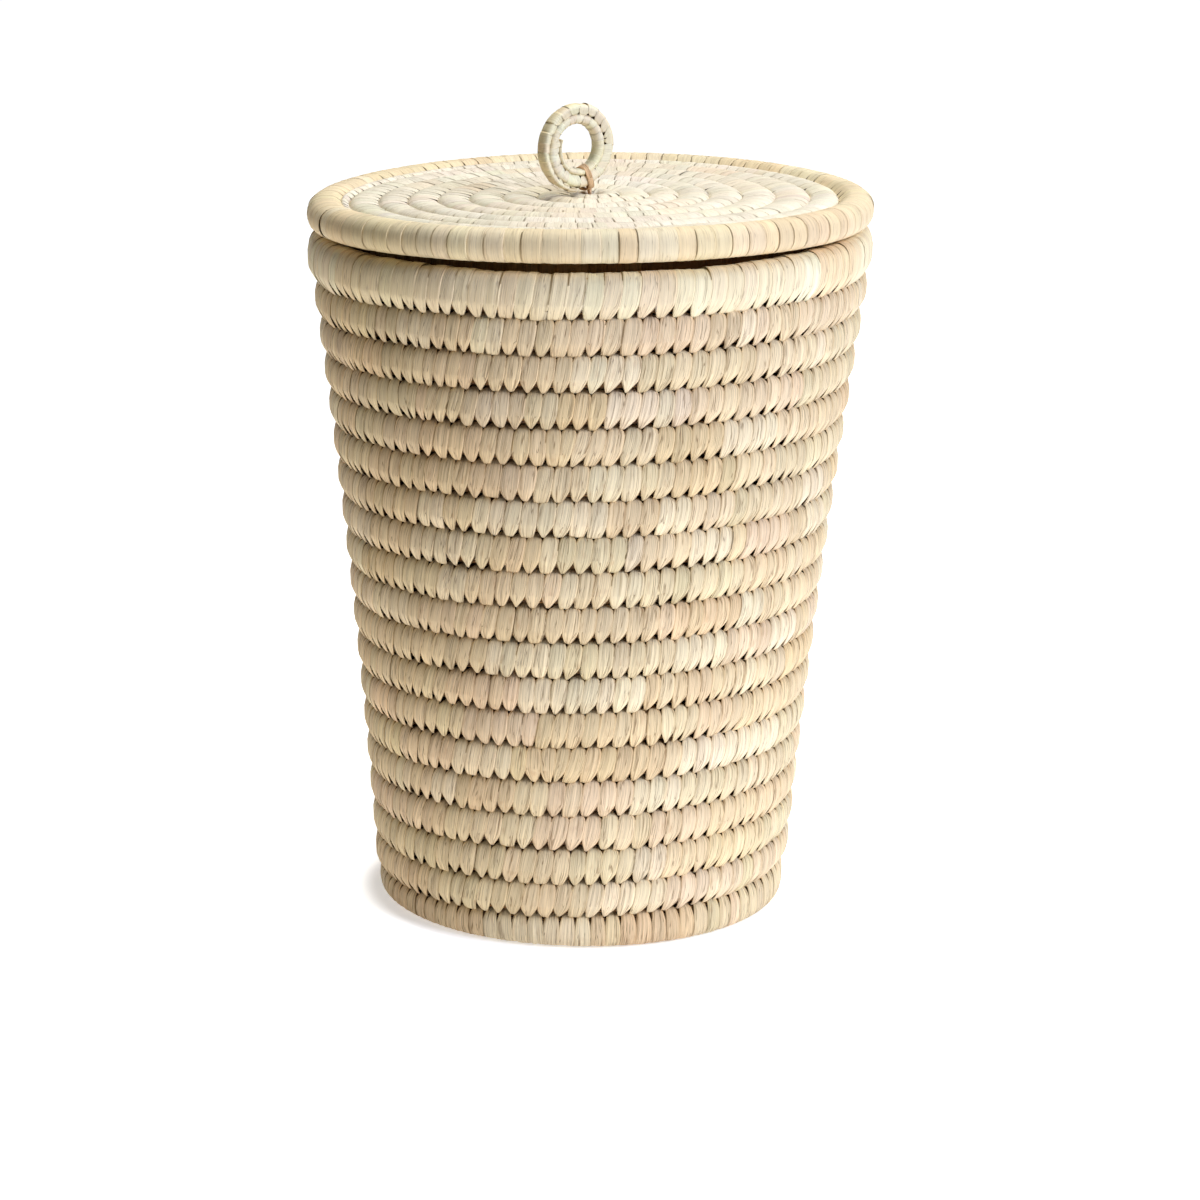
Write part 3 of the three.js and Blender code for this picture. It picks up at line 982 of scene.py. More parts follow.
    def build_stitches(self, stitches: Stitches) -> Bands:
        """Makes the strips of leaf.

        Args:
            stitches: The stitches.

        Returns:
            One closed strip for each stitch.
        """
        rng = np.random.default_rng(self.seed + 100)
        count, style = len(stitches.heads), self.style
        radius = self.middle_radius(stitches.heads)
        girth = 2 * np.pi * radius
        chances = np.array([[HEAD_CHANCE], [TIP_CHANCE]])
        head_shift, tip_shift = rng.normal(0, chances, (2, count)) * (style.pitch / girth)
        moved = Stitches(stitches.heads + head_shift, stitches.tips + tip_shift)
        at_head, at_tip = (self._half_widths(ends, radius) for ends in (moved.heads, moved.tips))
        lines = self.strip_lines(moved)
        if style.taper and not style.wraps:
            point = np.clip(rng.normal(1.0, POINT_CHANCE, (count, 1)), *POINT_LIMITS)
            pointed = lines.width ** (style.point * point)
            lines.width = np.where(lines.share < POINT_TOP, pointed, lines.width)
            shift = rng.normal(0, HEIGHT_CHANCE, (count, 1))
            lines.along = lines.along + shift * np.abs(lines.share)
        depth = self._depths(lines, moved, rng)
        up, out = np.gradient(lines.along, axis=1), np.gradient(lines.across, axis=1)
        size = np.maximum(np.hypot(up, out), SHORTEST)
        along = lines.along[..., None] + (out / size)[..., None] * depth
        across = lines.across[..., None] - (up / size)[..., None] * depth
        swing = style.swing(lines.share)[..., None]
        half = at_head * (1 - swing) + at_tip * swing
        out_to = CORNERS * np.where(CORNERS < 0, half[..., :1], half[..., 1:])
        reach = out_to * lines.width[..., None]
        points = self.place(along, across, lines.turn[..., None] + reach / girth[:, None, None])
        seeds = rng.uniform(0, GRAIN_SEEDS, count)[:, None, None]
        grain = np.stack(np.broadcast_arrays(out_to, np.cumsum(size, 1)[..., None], seeds), -1)
        # The tones carry painted shade on the strips' edges and crowns.
        tones = self.palette.pick(rng, count, self.batch)[:, None, None] * self._painted_shade(lines)
        if self.growth is Growth.OUT:
            points, grain, tones = (values[:, :, ::-1] for values in (points, grain, tones))
        return Bands(points, tones, grain)

    def _half_widths(self, ends: np.ndarray, radius: np.ndarray) -> np.ndarray:
        """Finds how far each strip reaches to its neighbours.

        Args:
            ends: The heads or the tips.
            radius: The cord's radius at each.

        Returns:
            The reach to the one before it and to the one after it.
        """
        room = np.diff(ends) * 2 * np.pi * radius[1:] * self.style.spread / 2
        pair = np.stack([np.append(room[0], room), np.append(room, room[-1])], -1)
        return np.clip(pair, *(self.style.pitch * s for s in WIDTH_LIMITS))[:, None, :]

    def _depths(self, lines: StripLines, stitches: Stitches,
                rng: np.random.Generator) -> np.ndarray:
        """How far each corner of each strip lies under the line of its middle.

        Args:
            lines: The lines of the middles.
            stitches: The stitches.
            rng: The source of chance.

        Returns:
            A depth for each stitch, ring and corner.
        """
        style, width = self.style, lines.width[..., None]
        ripples = rng.normal(0, style.ripple, (2, len(width), 1, len(CORNERS)))
        ripples[..., [0, -2, -1]] = 0
        mix = np.linspace(0, 1, width.shape[1])[None, :, None]
        ripple = ripples[0] * (1 - mix) + ripples[1] * mix
        low, high, _, _ = self.edges(stitches.heads).sides(self.growth)
        thin = np.clip((high - low) / THIN_CORD, THINNEST, 1)[:, None, None]
        lapped = (1 - CORNERS) / 2 * style.lap
        rounding = EDGE_FALL + NARROW_FALL * (1 - width)
        depth = (np.abs(CORNERS) ** EDGE_CURVE * style.crown * rounding + lapped) * thin
        flattened = NARROW_RIPPLE + (1 - NARROW_RIPPLE) * width
        depth = depth + np.clip(ripple, -HIGHEST_RIPPLE, 1) * flattened
        depth[..., -1:] += (BACK_DEPTH + (style.crown + BACK_HOLLOW) * width) * thin
        return depth

    def _painted_shade(self, lines: StripLines) -> np.ndarray:
        """Paints shade on the strips: darker and browner at their edges and on the crown.

        Args:
            lines: The lines of their middles.

        Returns:
            What the tone of each corner is multiplied with.
        """
        edge = np.abs(CORNERS)[None, None, :] ** EDGE_CURVE * self.style.edge_shading
        crown = (np.clip(lines.share, 0, 1) ** 2)[..., None]
        # Painted shade: darker seams between the strips, and a darker crown of the cord.
        brown = edge * (EDGE_SHADE + CROWN_EDGE_SHADE * crown) + self.style.crown_shading * crown
        return 1 - brown[..., None] * SHADE_LOSS

    def wrapped_until(self) -> float:
        """The turn from which the stitches enter a row before."""
        return self.first_turn

    def build_strips(self, stitches: Stitches) -> Bands:
        """The strips, which go right round the cord as long as it has no row before.

        Args:
            stitches: The stitches.

        Returns:
            One closed strip for each stitch.
        """
        bands = self.build_stitches(stitches)
        first = stitches.heads < self.wrapped_until()
        if first.any():
            around = replace(self, style=replace(self.style, wraps=True, lean=0.0))
            wrapped = around.build_stitches(Stitches(stitches.heads, stitches.heads.copy()))
            bands.points[first] = wrapped.points[first]
            bands.tones[first] = wrapped.tones[first]
            bands.grain[first] = wrapped.grain[first]
        return bands

    def stitches(self) -> Stitches:
        """The places of this cord's stitches."""
        rng = np.random.default_rng(self.seed + 200)
        return Stitches.lay(self.first_turn, self.last_turn, self.per_turn, self.style.lean, rng)

    def last_valleys(self) -> np.ndarray:
        """Finds the places between the stitches of the last row, for a next cord's tips.

        Returns:
            The places in turns.
        """
        heads = self.stitches().heads
        last = heads[heads > self.last_turn - 1]
        return (last[1:] + last[:-1]) / 2

    def build(self) -> list[bpy.types.Object]:
        """Makes the bundle and its stitches, and hands them to the frame.

        Returns:
            The pieces.
        """
        bundle = self.build_bundle().piece(f"{self.node}_bundle", FIBRE)
        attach(bundle, self.body)
        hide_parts(self.node)
        pieces = [bundle]
        laid = self.stitches()
        bands = self.build_strips(laid)
        rows = np.floor((laid.heads - laid.heads[0]) / self.split).astype(int)
        for row in range(rows.max() + 1):
            chosen = rows == row
            part = Bands(bands.points[chosen], bands.tones[chosen], bands.grain[chosen])
            name = f"{self.node}_stitches_{row + 1:02d}"
            piece = part.piece(name, self.finish)
            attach(piece, self.body)
            pieces.append(piece)
        LOG.info("%s: %d stitches in %d pieces", self.node, len(laid.heads), len(pieces) - 1)
        return pieces


# ---- The basket's own sizes ----

# ROW_GAP lies between two rows, SEAT_GAP between the lid and the rim that it rests on, and
# TIP_THICKNESS is what is left of a cord where it thins out. A hoop ends just short of its
# own start.
ROW_GAP = 0.45
SEAT_GAP = 0.35
TIP_THICKNESS = 2.5
HOOP_END = 0.9995
WALL_ROWS = 18
ROW_HEIGHT = 25.4
WALL_HEIGHT = WALL_ROWS * ROW_HEIGHT
WALL_TOP_RADIUS = 196.7
FOOT_LIFT_TURNS = 0.25
WALL_TAIL_TURNS = 0.2
RIM_OUTER_RADIUS = WALL_TOP_RADIUS + 2.5
LID_RADIUS = RIM_OUTER_RADIUS + 0.2
RIM_THICKNESS = 22.8
RIM_HEIGHT = 28.0
RIM_SAG = 2.5
RIM_TILT = 1.28
LID_BOW = 3.0
LID_RISE = 1.4
LID_THICKNESS = 18.6
SPIRAL_PITCH = 22.3
LID_SEAT = WALL_HEIGHT + RIM_HEIGHT + RIM_SAG + SEAT_GAP
LID_COIL_RADIUS = LID_RADIUS - RIM_THICKNESS - ROW_GAP
LID_MATRIX = Matrix.Translation((0, 0, LID_SEAT)) @ Matrix.Rotation(
    math.radians(-RIM_TILT), 4, "Y")


def lid_bow(x: np.ndarray) -> np.ndarray:
    """How far the lid is bowed up: its left and right sides are its lowest places."""
    return LID_BOW * (1 - (x / LID_RADIUS) ** 2)


@dataclass
class WallCord(Cord):
    """The wall: one helix whose first row lies on the floor and whose end thins out.

    Args:
        foot_radius: The outer radius that its cone has at the floor.
        foot_row_radius: The outer radius of the row on the floor.
        hollow: How far it is drawn in at mid height.
        thickness: From its inner face to its outer one.
        lift_turns: Over how many turns the cord lifts off the floor.
        tail_turns: Over how many turns it thins out at its last end.
        narrowing: How much narrower each of its sides is at its first end.
    """

    foot_radius: float = 148.6
    foot_row_radius: float = 147.6
    hollow: float = 3.7
    thickness: float = 20.0
    lift_turns: float = FOOT_LIFT_TURNS
    tail_turns: float = WALL_TAIL_TURNS
    narrowing: float = 5.5

    def radius(self, height: np.ndarray) -> np.ndarray:
        """The wall's outer radius at a height: a cone, drawn in a little at mid height.

        Args:
            height: Heights over the floor.

        Returns:
            The radius at each height.
        """
        share = height / WALL_HEIGHT
        cone = self.foot_radius + (WALL_TOP_RADIUS - self.foot_radius) * share
        return cone - self.hollow * 4 * share * (1 - share)

    def foot_lift(self, turns: np.ndarray) -> np.ndarray:
        """How far the cord has lifted in its first turn: 0 is on the floor."""
        return np.clip((turns - 1) / self.lift_turns + 1, 0, 1)

    def top(self, turns: np.ndarray) -> np.ndarray:
        """The top of the cord, which climbs one row in each turn and thins out at both ends.

        Args:
            turns: The turns that are asked for.

        Returns:
            The height at each turn.
        """
        plain = ROW_HEIGHT * (turns + 0.5)
        share = np.clip((turns - WALL_ROWS) / self.tail_turns, 0, 1)
        end = ROW_HEIGHT * (WALL_ROWS + self.tail_turns - 0.5) + ROW_GAP + TIP_THICKNESS
        tail = ROW_HEIGHT * (WALL_ROWS + 0.5) * (1 - share) + end * share
        start = self.foot_lift(turns + 1) * (ROW_HEIGHT / 2 + ROW_GAP) - ROW_GAP
        return np.where(turns < 0, start, np.where(turns > WALL_ROWS, tail, plain))

    def edges(self, turns: np.ndarray) -> Edges:
        """The box that the cord fills at each turn.

        Args:
            turns: The turns that are asked for.

        Returns:
            The box at each turn.
        """
        turns = np.asarray(turns, float)
        lift = self.foot_lift(turns)
        late = np.maximum(turns, 1)
        climbing = self.radius(late * ROW_HEIGHT)
        drawn_in = self.narrowing * np.clip(-turns / self.lift_turns, 0, 1)
        outer = self.foot_row_radius * (1 - lift) + climbing * lift
        bottom = lift * (self.top(late - 1) + ROW_GAP)
        return Edges(outer - self.thickness + drawn_in, outer - drawn_in, bottom,
                     self.top(turns))

    def wrapped_until(self) -> float:
        """The turn from which the stitches enter a row before: the foot row has none."""
        return 1 - self.lift_turns * 0.5


@dataclass
class RimCord(Cord):
    """The basket's rim: a thicker cord that lies on the wall's last row.

    Args:
        wall: The wall's cord.
        past_tail: How far past the wall's thin end it still follows it, in turns.
        wide_gap: How many times the mean a gap is that gets a second stitch.
    """

    wall: WallCord | None = None
    past_tail: float = 0.025
    wide_gap: float = 1.5

    def crest(self, turns: np.ndarray) -> np.ndarray:
        """The highest part of the wall under the rim."""
        under_tail = turns < self.wall.tail_turns + self.past_tail
        return self.wall.top(WALL_ROWS + turns - np.where(under_tail, 0, 1))

    def edges(self, turns: np.ndarray) -> Edges:
        """The box that the cord fills at each turn.

        Args:
            turns: The turns that are asked for.

        Returns:
            The box at each turn.
        """
        turns = np.asarray(turns, float)
        angle = 2 * np.pi * (turns + BACK)
        middle = RIM_OUTER_RADIUS - RIM_THICKNESS / 2
        slope = math.tan(math.radians(RIM_TILT))
        top = (WALL_HEIGHT + RIM_HEIGHT + RIM_SAG + slope * middle * np.cos(angle)
               - RIM_SAG * np.sin(angle) ** 2)
        return Edges(*np.broadcast_arrays(
            RIM_OUTER_RADIUS - RIM_THICKNESS, RIM_OUTER_RADIUS,
            self.crest(turns % 1) + ROW_GAP, top))

    def edges_before(self, turns: np.ndarray) -> Edges:
        """The wall's last row, which the rim's stitches enter."""
        return self.wall.edges(np.clip(WALL_ROWS - 1 + turns, 0, self.wall.last_turn))

    def stitches(self) -> Stitches:
        """Sets the rim's stitches over the gaps between those of the wall's last row.

        Returns:
            The stitches, with one more in each wide gap.
        """
        valleys = np.sort((self.wall.last_valleys() - WALL_ROWS + 1) % 1)
        room = np.diff(valleys, append=valleys[0] + 1)
        wide = room > self.wide_gap / len(valleys)
        valleys = np.sort(np.concatenate([valleys, (valleys + room / 2)[wide] % 1]))
        return Stitches(valleys + self.style.lean / len(valleys), valleys)


@dataclass
class SpiralCord(Cord):
    """A flat spiral that fills a disc and thins out at both ends.

    Args:
        inner: The radius of its eye.
        outer: The radius of the disc.
        pitch: From one row to the next.
        bottom: The height of its underside.
        top: The height of its upper side.
        gap: Between two rows.
        sunk_turns: Over how many turns its thin end sinks under the cord that lies round it.
        sunk_share: How deep the end sinks, as a share of its thickness.
        eye_pitch: How close the stitches lie at the eye, as a share of the style's pitch.
        even_radius: The radius from which they lie at the style's pitch.
        fewest: The fewest stitches to a turn.
    """

    inner: float = 3.0
    outer: float = 127.15
    pitch: float = SPIRAL_PITCH
    bottom: float = 0.0
    top: float = 23.0
    gap: float = ROW_GAP
    sunk_turns: float = 0.15
    sunk_share: float = 0.27
    eye_pitch: float = 0.6
    even_radius: float = 110
    fewest: float = 5.0

    def __post_init__(self) -> None:
        """Works out where the spiral starts from where it ends."""
        run = self.outer - TIP_THICKNESS - self.inner + self.pitch - self.gap - TIP_THICKNESS
        self.first_turn = self.last_turn - run / self.pitch

    def edges(self, turns: np.ndarray) -> Edges:
        """The box that the cord fills at each turn.

        Args:
            turns: The turns that are asked for.

        Returns:
            The box at each turn.
        """
        turns = np.asarray(turns, float)
        left = self.last_turn - turns
        edge = self.outer - TIP_THICKNESS - self.pitch * left
        sunk = np.clip(1 - left / self.sunk_turns, 0, 1) * self.sunk_share * (
            self.top - self.bottom)
        return Edges(np.maximum(edge, self.inner),
                     np.minimum(edge + self.pitch - self.gap, self.outer),
                     self.bottom + sunk, self.top - sunk)

    def wrapped_until(self) -> float:
        """The turn from which the stitches enter a row before: the first turn has none."""
        return self.first_turn + 1

    def per_turn(self, turn: float) -> float:
        """The number of stitches to a turn. Those near the eye lie closer together.

        Args:
            turn: The turn that is asked for.

        Returns:
            The number of stitches.
        """
        radius = float(self.middle_radius(np.array([turn]))[0])
        closer = min(1.0, self.eye_pitch + (1 - self.eye_pitch) * radius / self.even_radius)
        return max(self.fewest, 2 * math.pi * radius / (self.style.pitch * closer))


@dataclass
class LidCord(SpiralCord):
    """The lid's spiral, which is bowed and lies a little off its centre.

    Args:
        sideways: How far off its turns lie half way out.
    """

    sideways: float = 6.0

    def lift(self, x: np.ndarray, y: np.ndarray) -> np.ndarray:
        """It is bowed as the whole lid is."""
        return lid_bow(x)

    def drift(self, radius: np.ndarray) -> np.ndarray:
        """Half way out, the turns lie nearer to the left."""
        share = (radius - self.inner) / (self.outer - self.inner)
        return self.sideways * np.sin(np.pi * np.clip(share, 0, 1))


@dataclass
class HoopCord(Cord):
    """One turn of cord under or round the lid.

    Args:
        inner: Its inner radius.
        outer: Its outer radius.
        bottom: The height of its underside.
        top: The height of its upper side.
        before: The spiral that it is sewn to, if it has one.
        covered_turns: From how many turns before the spiral's end it covers it in full.
        cover_turns: From how many turns before that end it starts to reach over it.
    """

    inner: float = 0.0
    outer: float = 0.0
    bottom: float = 0.0
    top: float = 0.0
    before: SpiralCord | None = None
    covered_turns: float = 0.06
    cover_turns: float = 0.22

    def cover(self, turns: np.ndarray) -> np.ndarray:
        """How far the hoop reaches inwards over the thin end of the spiral before it.

        Args:
            turns: The turns that are asked for.

        Returns:
            The reach at each turn.
        """
        if self.before is None:
            return np.zeros_like(turns)
        past = (turns - self.before.last_turn + 0.5) % 1 - 0.5
        wedge = TIP_THICKNESS + self.before.gap - ROW_GAP - past * self.before.pitch
        widest = TIP_THICKNESS + self.before.pitch * self.covered_turns
        share = (past + self.cover_turns) / (self.cover_turns - self.covered_turns)
        return np.clip(np.minimum(wedge, widest * share), 0, None)

    def edges(self, turns: np.ndarray) -> Edges:
        """The box that the cord fills at each turn."""
        inner = self.inner - self.cover(np.asarray(turns, float))
        return Edges(*np.broadcast_arrays(inner, self.outer, self.bottom, self.top))

    def edges_before(self, turns: np.ndarray) -> Edges:
        """The row that the stitches enter, which is no thicker than the lid.

        Args:
            turns: The turns that are asked for.

        Returns:
            The box at each turn.
        """
        found = self.edges(turns)
        if self.before is None:
            return found
        _, bottom, top = np.broadcast_arrays(found.inner, self.before.bottom, self.before.top)
        return replace(found, bottom=bottom, top=top)

    def lift(self, x: np.ndarray, y: np.ndarray) -> np.ndarray:
        """It follows the lid's bow."""
        return lid_bow(x)

    def stitches(self) -> Stitches:
        """Sets even stitches round the hoop, near the valleys of the row before.

        Returns:
            The stitches.
        """
        if self.before is None:
            count, shift = round(self.per_turn(0.5)), 0.0
        else:
            valleys = np.sort(self.before.last_valleys() % 1)
            count = len(valleys)
            late = valleys - (np.arange(count) + 0.5) / count
            shift = np.mean(np.angle(np.exp(2j * np.pi * late))) / (2 * np.pi)
        tips = (np.arange(count) + 0.5) / count + shift
        return Stitches(tips + self.style.lean / count, tips)


# The shading of the crowns and edges in these styles is painted shade.
WALL_STYLE = StitchStyle()
RIM_STYLE = StitchStyle(squareness=2.3, head=1.0, crown=0.45, lap=0.16, spread=1.12, point=0.5,
                        edge_shading=0.6)
BASE_STYLE = StitchStyle(pitch=11.2, squareness=3.2)
LID_STYLE = StitchStyle(pitch=10.8, squareness=2.5, fullness=2.5, leaf=1.2, head=0.86, taper=0.6,
                        reach=0.2, lean=0.15, crown=0.3, lap=0.08, ripple=0.14, spread=1.16,
                        point=0.42, crown_shading=0.08, edge_shading=0.3)
LID_RIM_STYLE = StitchStyle(pitch=10.7, squareness=2.2, fullness=2.4, head=1.0, taper=0.6,
                            reach=0.2, lean=0.15, crown=0.34, lap=0.08, ripple=0.16, spread=1.1,
                            point=0.4, crown_shading=0.05, edge_shading=0.35)
RING_STYLE = StitchStyle(pitch=11.0, squareness=2.2, head=1.0, wraps=True, lean=0.0)
HANDLE_STYLE = StitchStyle(pitch=6.0, squareness=2.2, fullness=2.2, leaf=0.8, head=1.0,
                           taper=1.0, reach=0.3, lean=0.1, crown=0.1, lap=0.05, ripple=0.05,
                           spread=1.2, point=0.55, crown_shading=0.6, edge_shading=0.2)


@dataclass
class FingerRing(SpiralCord):
    """The finger ring: two turns of thin cord that stand on edge on the lid."""

    def per_turn(self, turn: float) -> float:
        """The number of stitches to a turn, which lie at one pitch all the way."""
        return Cord.per_turn(self, turn)


# A leaf strip that is not on a cord: its corners across and how high each stands, and how
# many rings it has.
TIE_ACROSS = np.array([-1.0, -0.75, -0.3, 0.3, 0.75, 1.0, 0.6, 0.0, -0.6])
TIE_RISE = np.array([0.0, 0.62, 0.95, 0.95, 0.62, 0.0, -0.35, -0.4, -0.35])
TIE_RINGS = 41
TIE_SEEDS = (3.0, 40)  # where its grain starts, and how far chance moves that


@dataclass
class LeafTie:
    """The leaf strip that goes round the ring's foot, down through the lid, and is knotted.

    Args:
        matrix: Where the ring's upright axes lie in the basket.
        hole: The ring's inner radius.
        outer: The ring's outer radius.
        half_thick: Half of the ring's thickness.
        lean: How far from the ring's lowest point the tie lies, in degrees.
        knot_top: The height of the knot's top, from the ring's centre.
        knot_radius: The radius of the knot's turns.
        knot_bulge: How far they are from round.
        knot_drop: From the knot's top to its middle.
        squareness: How square its bands are round the ring: 2 is an ellipse.
        twist: From which angle to which its ends are twisted, in radians.
        thicknesses: How thick its bands, its ends and its knot are.
        seed: The number that chance starts from.
    """

    matrix: Matrix
    hole: float
    outer: float
    half_thick: float
    lean: float
    knot_top: float
    knot_radius: float = 7.2
    knot_bulge: float = 0.8
    knot_drop: float = 3.5
    squareness: float = 2.6
    twist: tuple[float, float] = (0.3, 3.6)
    thicknesses: tuple[float, float, float] = (0.9, 1.2, 3.2)
    seed: int = 71

    @property
    def reach(self) -> float:
        """How far to the side of the ring's lowest point the tie goes down."""
        return self.outer * math.sin(math.radians(self.lean))

    def ribbon(self, path: np.ndarray, side: np.ndarray, width: float,
               thick: float) -> tuple[np.ndarray, np.ndarray]:
        """Sweeps a strip of leaf along a line.

        Args:
            path: The line's points.
            side: The direction across the strip at each point.
            width: The strip's width.
            thick: How thick it is at its middle.

        Returns:
            The corners, ring by ring, and their grain.
        """
        ahead = np.gradient(path, axis=0)
        ahead /= np.linalg.norm(ahead, axis=1, keepdims=True)
        side = side - (side * ahead).sum(1, keepdims=True) * ahead
        side /= np.linalg.norm(side, axis=1, keepdims=True)
        out = np.cross(side, ahead)
        across = TIE_ACROSS * width / 2
        points = (path[:, None] + side[:, None] * across[None, :, None]
                  + out[:, None] * (TIE_RISE * thick)[None, :, None])
        step = np.linalg.norm(np.diff(path, axis=0, prepend=path[:1]), axis=1).cumsum()
        grain = np.broadcast_arrays(across[None], step[:, None], TIE_SEEDS[0])
        return points, np.stack(grain, -1)

    def band(self, lean: float, width: float, tilt: float, swell: float) -> tuple[np.ndarray, ...]:
        """One turn of leaf round the foot of the ring.

        Args:
            lean: Where it lies, in degrees from the ring's lowest point.
            width: The strip's width.
            tilt: How far it is turned from straight across the cord, in degrees.
            swell: How far it stands off the cord.

        Returns:
            The corners and their grain.
        """
        out, up = squared(np.linspace(0, 2 * np.pi, TIE_RINGS), self.squareness)
        half_radial = (self.outer - self.hole) / 2 + swell
        radial = (self.outer + self.hole) / 2 + up * half_radial
        axial = out * (self.half_thick + swell)
        at = math.radians(lean) + np.radians(tilt) * out
        path = np.stack([radial * np.sin(at), -axial, -radial * np.cos(at)], -1)
        side = np.stack([np.cos(at), 0 * at, np.sin(at)], -1)
        return self.ribbon(path, side, width, self.thicknesses[0])

    def strand(self, points: Sequence[Sequence[float]], width: float) -> tuple[np.ndarray, ...]:
        """A twisted end of leaf through a few points.

        Args:
            points: The points that it passes.
            width: The strip's width.

        Returns:
            The corners and their grain.
        """
        knots = np.array(points, float)
        at = np.linspace(0, len(knots) - 1, TIE_RINGS)
        path = np.stack([self._smooth(knots[:, k], at) for k in range(3)], -1)
        twist = np.linspace(*self.twist, len(path))
        side = np.stack([np.cos(twist), np.sin(twist), 0.2 * np.cos(twist)], -1)
        return self.ribbon(path, side, width, self.thicknesses[1])

    @staticmethod
    def _smooth(values: np.ndarray, at: np.ndarray) -> np.ndarray:
        """Draws a smooth line through values.

        Args:
            values: The values at 0, 1, 2 and so on.
            at: The places to read it at.

        Returns:
            The line's value at each place.
        """
        slopes = np.gradient(values)
        low = np.clip(np.floor(at).astype(int), 0, len(values) - 2)
        s = at - low
        return ((2 * s**3 - 3 * s**2 + 1) * values[low] + (s**3 - 2 * s**2 + s) * slopes[low]
                + (3 * s**2 - 2 * s**3) * values[low + 1] + (s**3 - s**2) * slopes[low + 1])

    def ends(self) -> list[tuple[np.ndarray, np.ndarray]]:
        """Makes the two ends of leaf that go down through the lid to the knot.

        Returns:
            The corners and the grain of each end.
        """
        reach, knot_top = self.reach, self.knot_top
        foot = -math.sqrt(self.outer**2 - reach**2)
        return [self.strand([
            (reach - 1, 1.5 * side, foot + 1.5), (reach + 0.5 * side, 1.6 * side, foot - 6),
            (reach - 0.7 * side, 1.2 * side, foot - 16), (reach, 1.8 * side, knot_top),
            (reach + 2 * side, 3.0 * side, knot_top - 4),
        ], 4.4) for side in (-1.0, 1.0)]

    def knot(self) -> list[tuple[np.ndarray, np.ndarray]]:
        """Ties the knot under the lid: turns of leaf that cross each other.

        Returns:
            The corners and the grain of each turn.
        """
        turn = np.linspace(0, 2 * np.pi, TIE_RINGS)
        radius = self.knot_radius + self.knot_bulge * np.cos(2 * turn)
        side = np.stack([0.25 * np.cos(turn), 0.25 * np.sin(turn), np.ones_like(turn)], -1)
        found = []
        for start, slope in ((0.0, 12.0), (60.0, -10.0), (120.0, 8.0)):
            rise = np.sin(turn + math.radians(start)) * radius * math.tan(math.radians(slope))
            path = np.stack([self.reach + radius * np.cos(turn), radius * np.sin(turn),
                             self.knot_top - self.knot_drop + rise], -1)
            found.append(self.ribbon(path, side, 5.6, self.thicknesses[2]))
        return found

    def build(self) -> list[bpy.types.Object]:
        """Makes the bands, the two ends that go down, and the knot.

        Returns:
            The pieces.
        """
        bands = [self.band(lean=15.0, width=4.4, tilt=3.0, swell=0.5),
                 self.band(lean=22.0, width=4.6, tilt=-4.0, swell=0.75)]
        pieces = []
        rng = np.random.default_rng(self.seed)
        for name, parts in (("handle_tie_band", bands), ("handle_tie_ends", self.ends()),
                            ("handle_tie_knot", self.knot())):
            points, grain = (np.stack(values) for values in zip(*parts, strict=True))
            grain[..., 2] += rng.uniform(0, TIE_SEEDS[1], len(parts))[:, None, None]
            points = carried(points, self.matrix)
            tones = Palette.TAN.pick(rng, len(parts), (1, 2))
            piece = Bands(points, tones, grain, columns=len(parts)).piece(name, TAN_LEAF)
            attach(piece, "lid")
            pieces.append(piece)
        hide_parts("handle_tie")
        LOG.info("handle_tie: %d pieces", len(pieces))
        return pieces


# ---- Sub-assemblies ----


@dataclass
class Basket:
    """The open basket: its base, its wall and its rim.

    Args:
        body: The moving part that its pieces belong to.
    """

    body: str = "basket"

    def build(self) -> list[bpy.types.Object]:
        """Builds the basket's cords, from the base up.

        Returns:
            The pieces.
        """
        base = SpiralCord(
            "base_coil", self.body, "palm_leaf", Growth.OUT, BASE_STYLE, Palette.WALL,
            WALL_LEAF, 0, 1.0, split=3.3, seed=11,
        )
        tip_share = (TIP_THICKNESS + ROW_GAP) / (ROW_HEIGHT / 2 + ROW_GAP)
        wall = WallCord(
            "wall_coil", self.body, "palm_leaf", Growth.UP, WALL_STYLE, Palette.WALL,
            WALL_LEAF, -FOOT_LIFT_TURNS * (1 - tip_share), WALL_ROWS + WALL_TAIL_TURNS, seed=21,
        )
        rim = RimCord(
            "rim_coil", self.body, "palm_leaf", Growth.UP, RIM_STYLE, Palette.RIM,
            RIM_LEAF, 0.0, HOOP_END, split=0.5, seed=31, wall=wall,
        )
        return [piece for cord in (base, wall, rim) for piece in cord.build()]


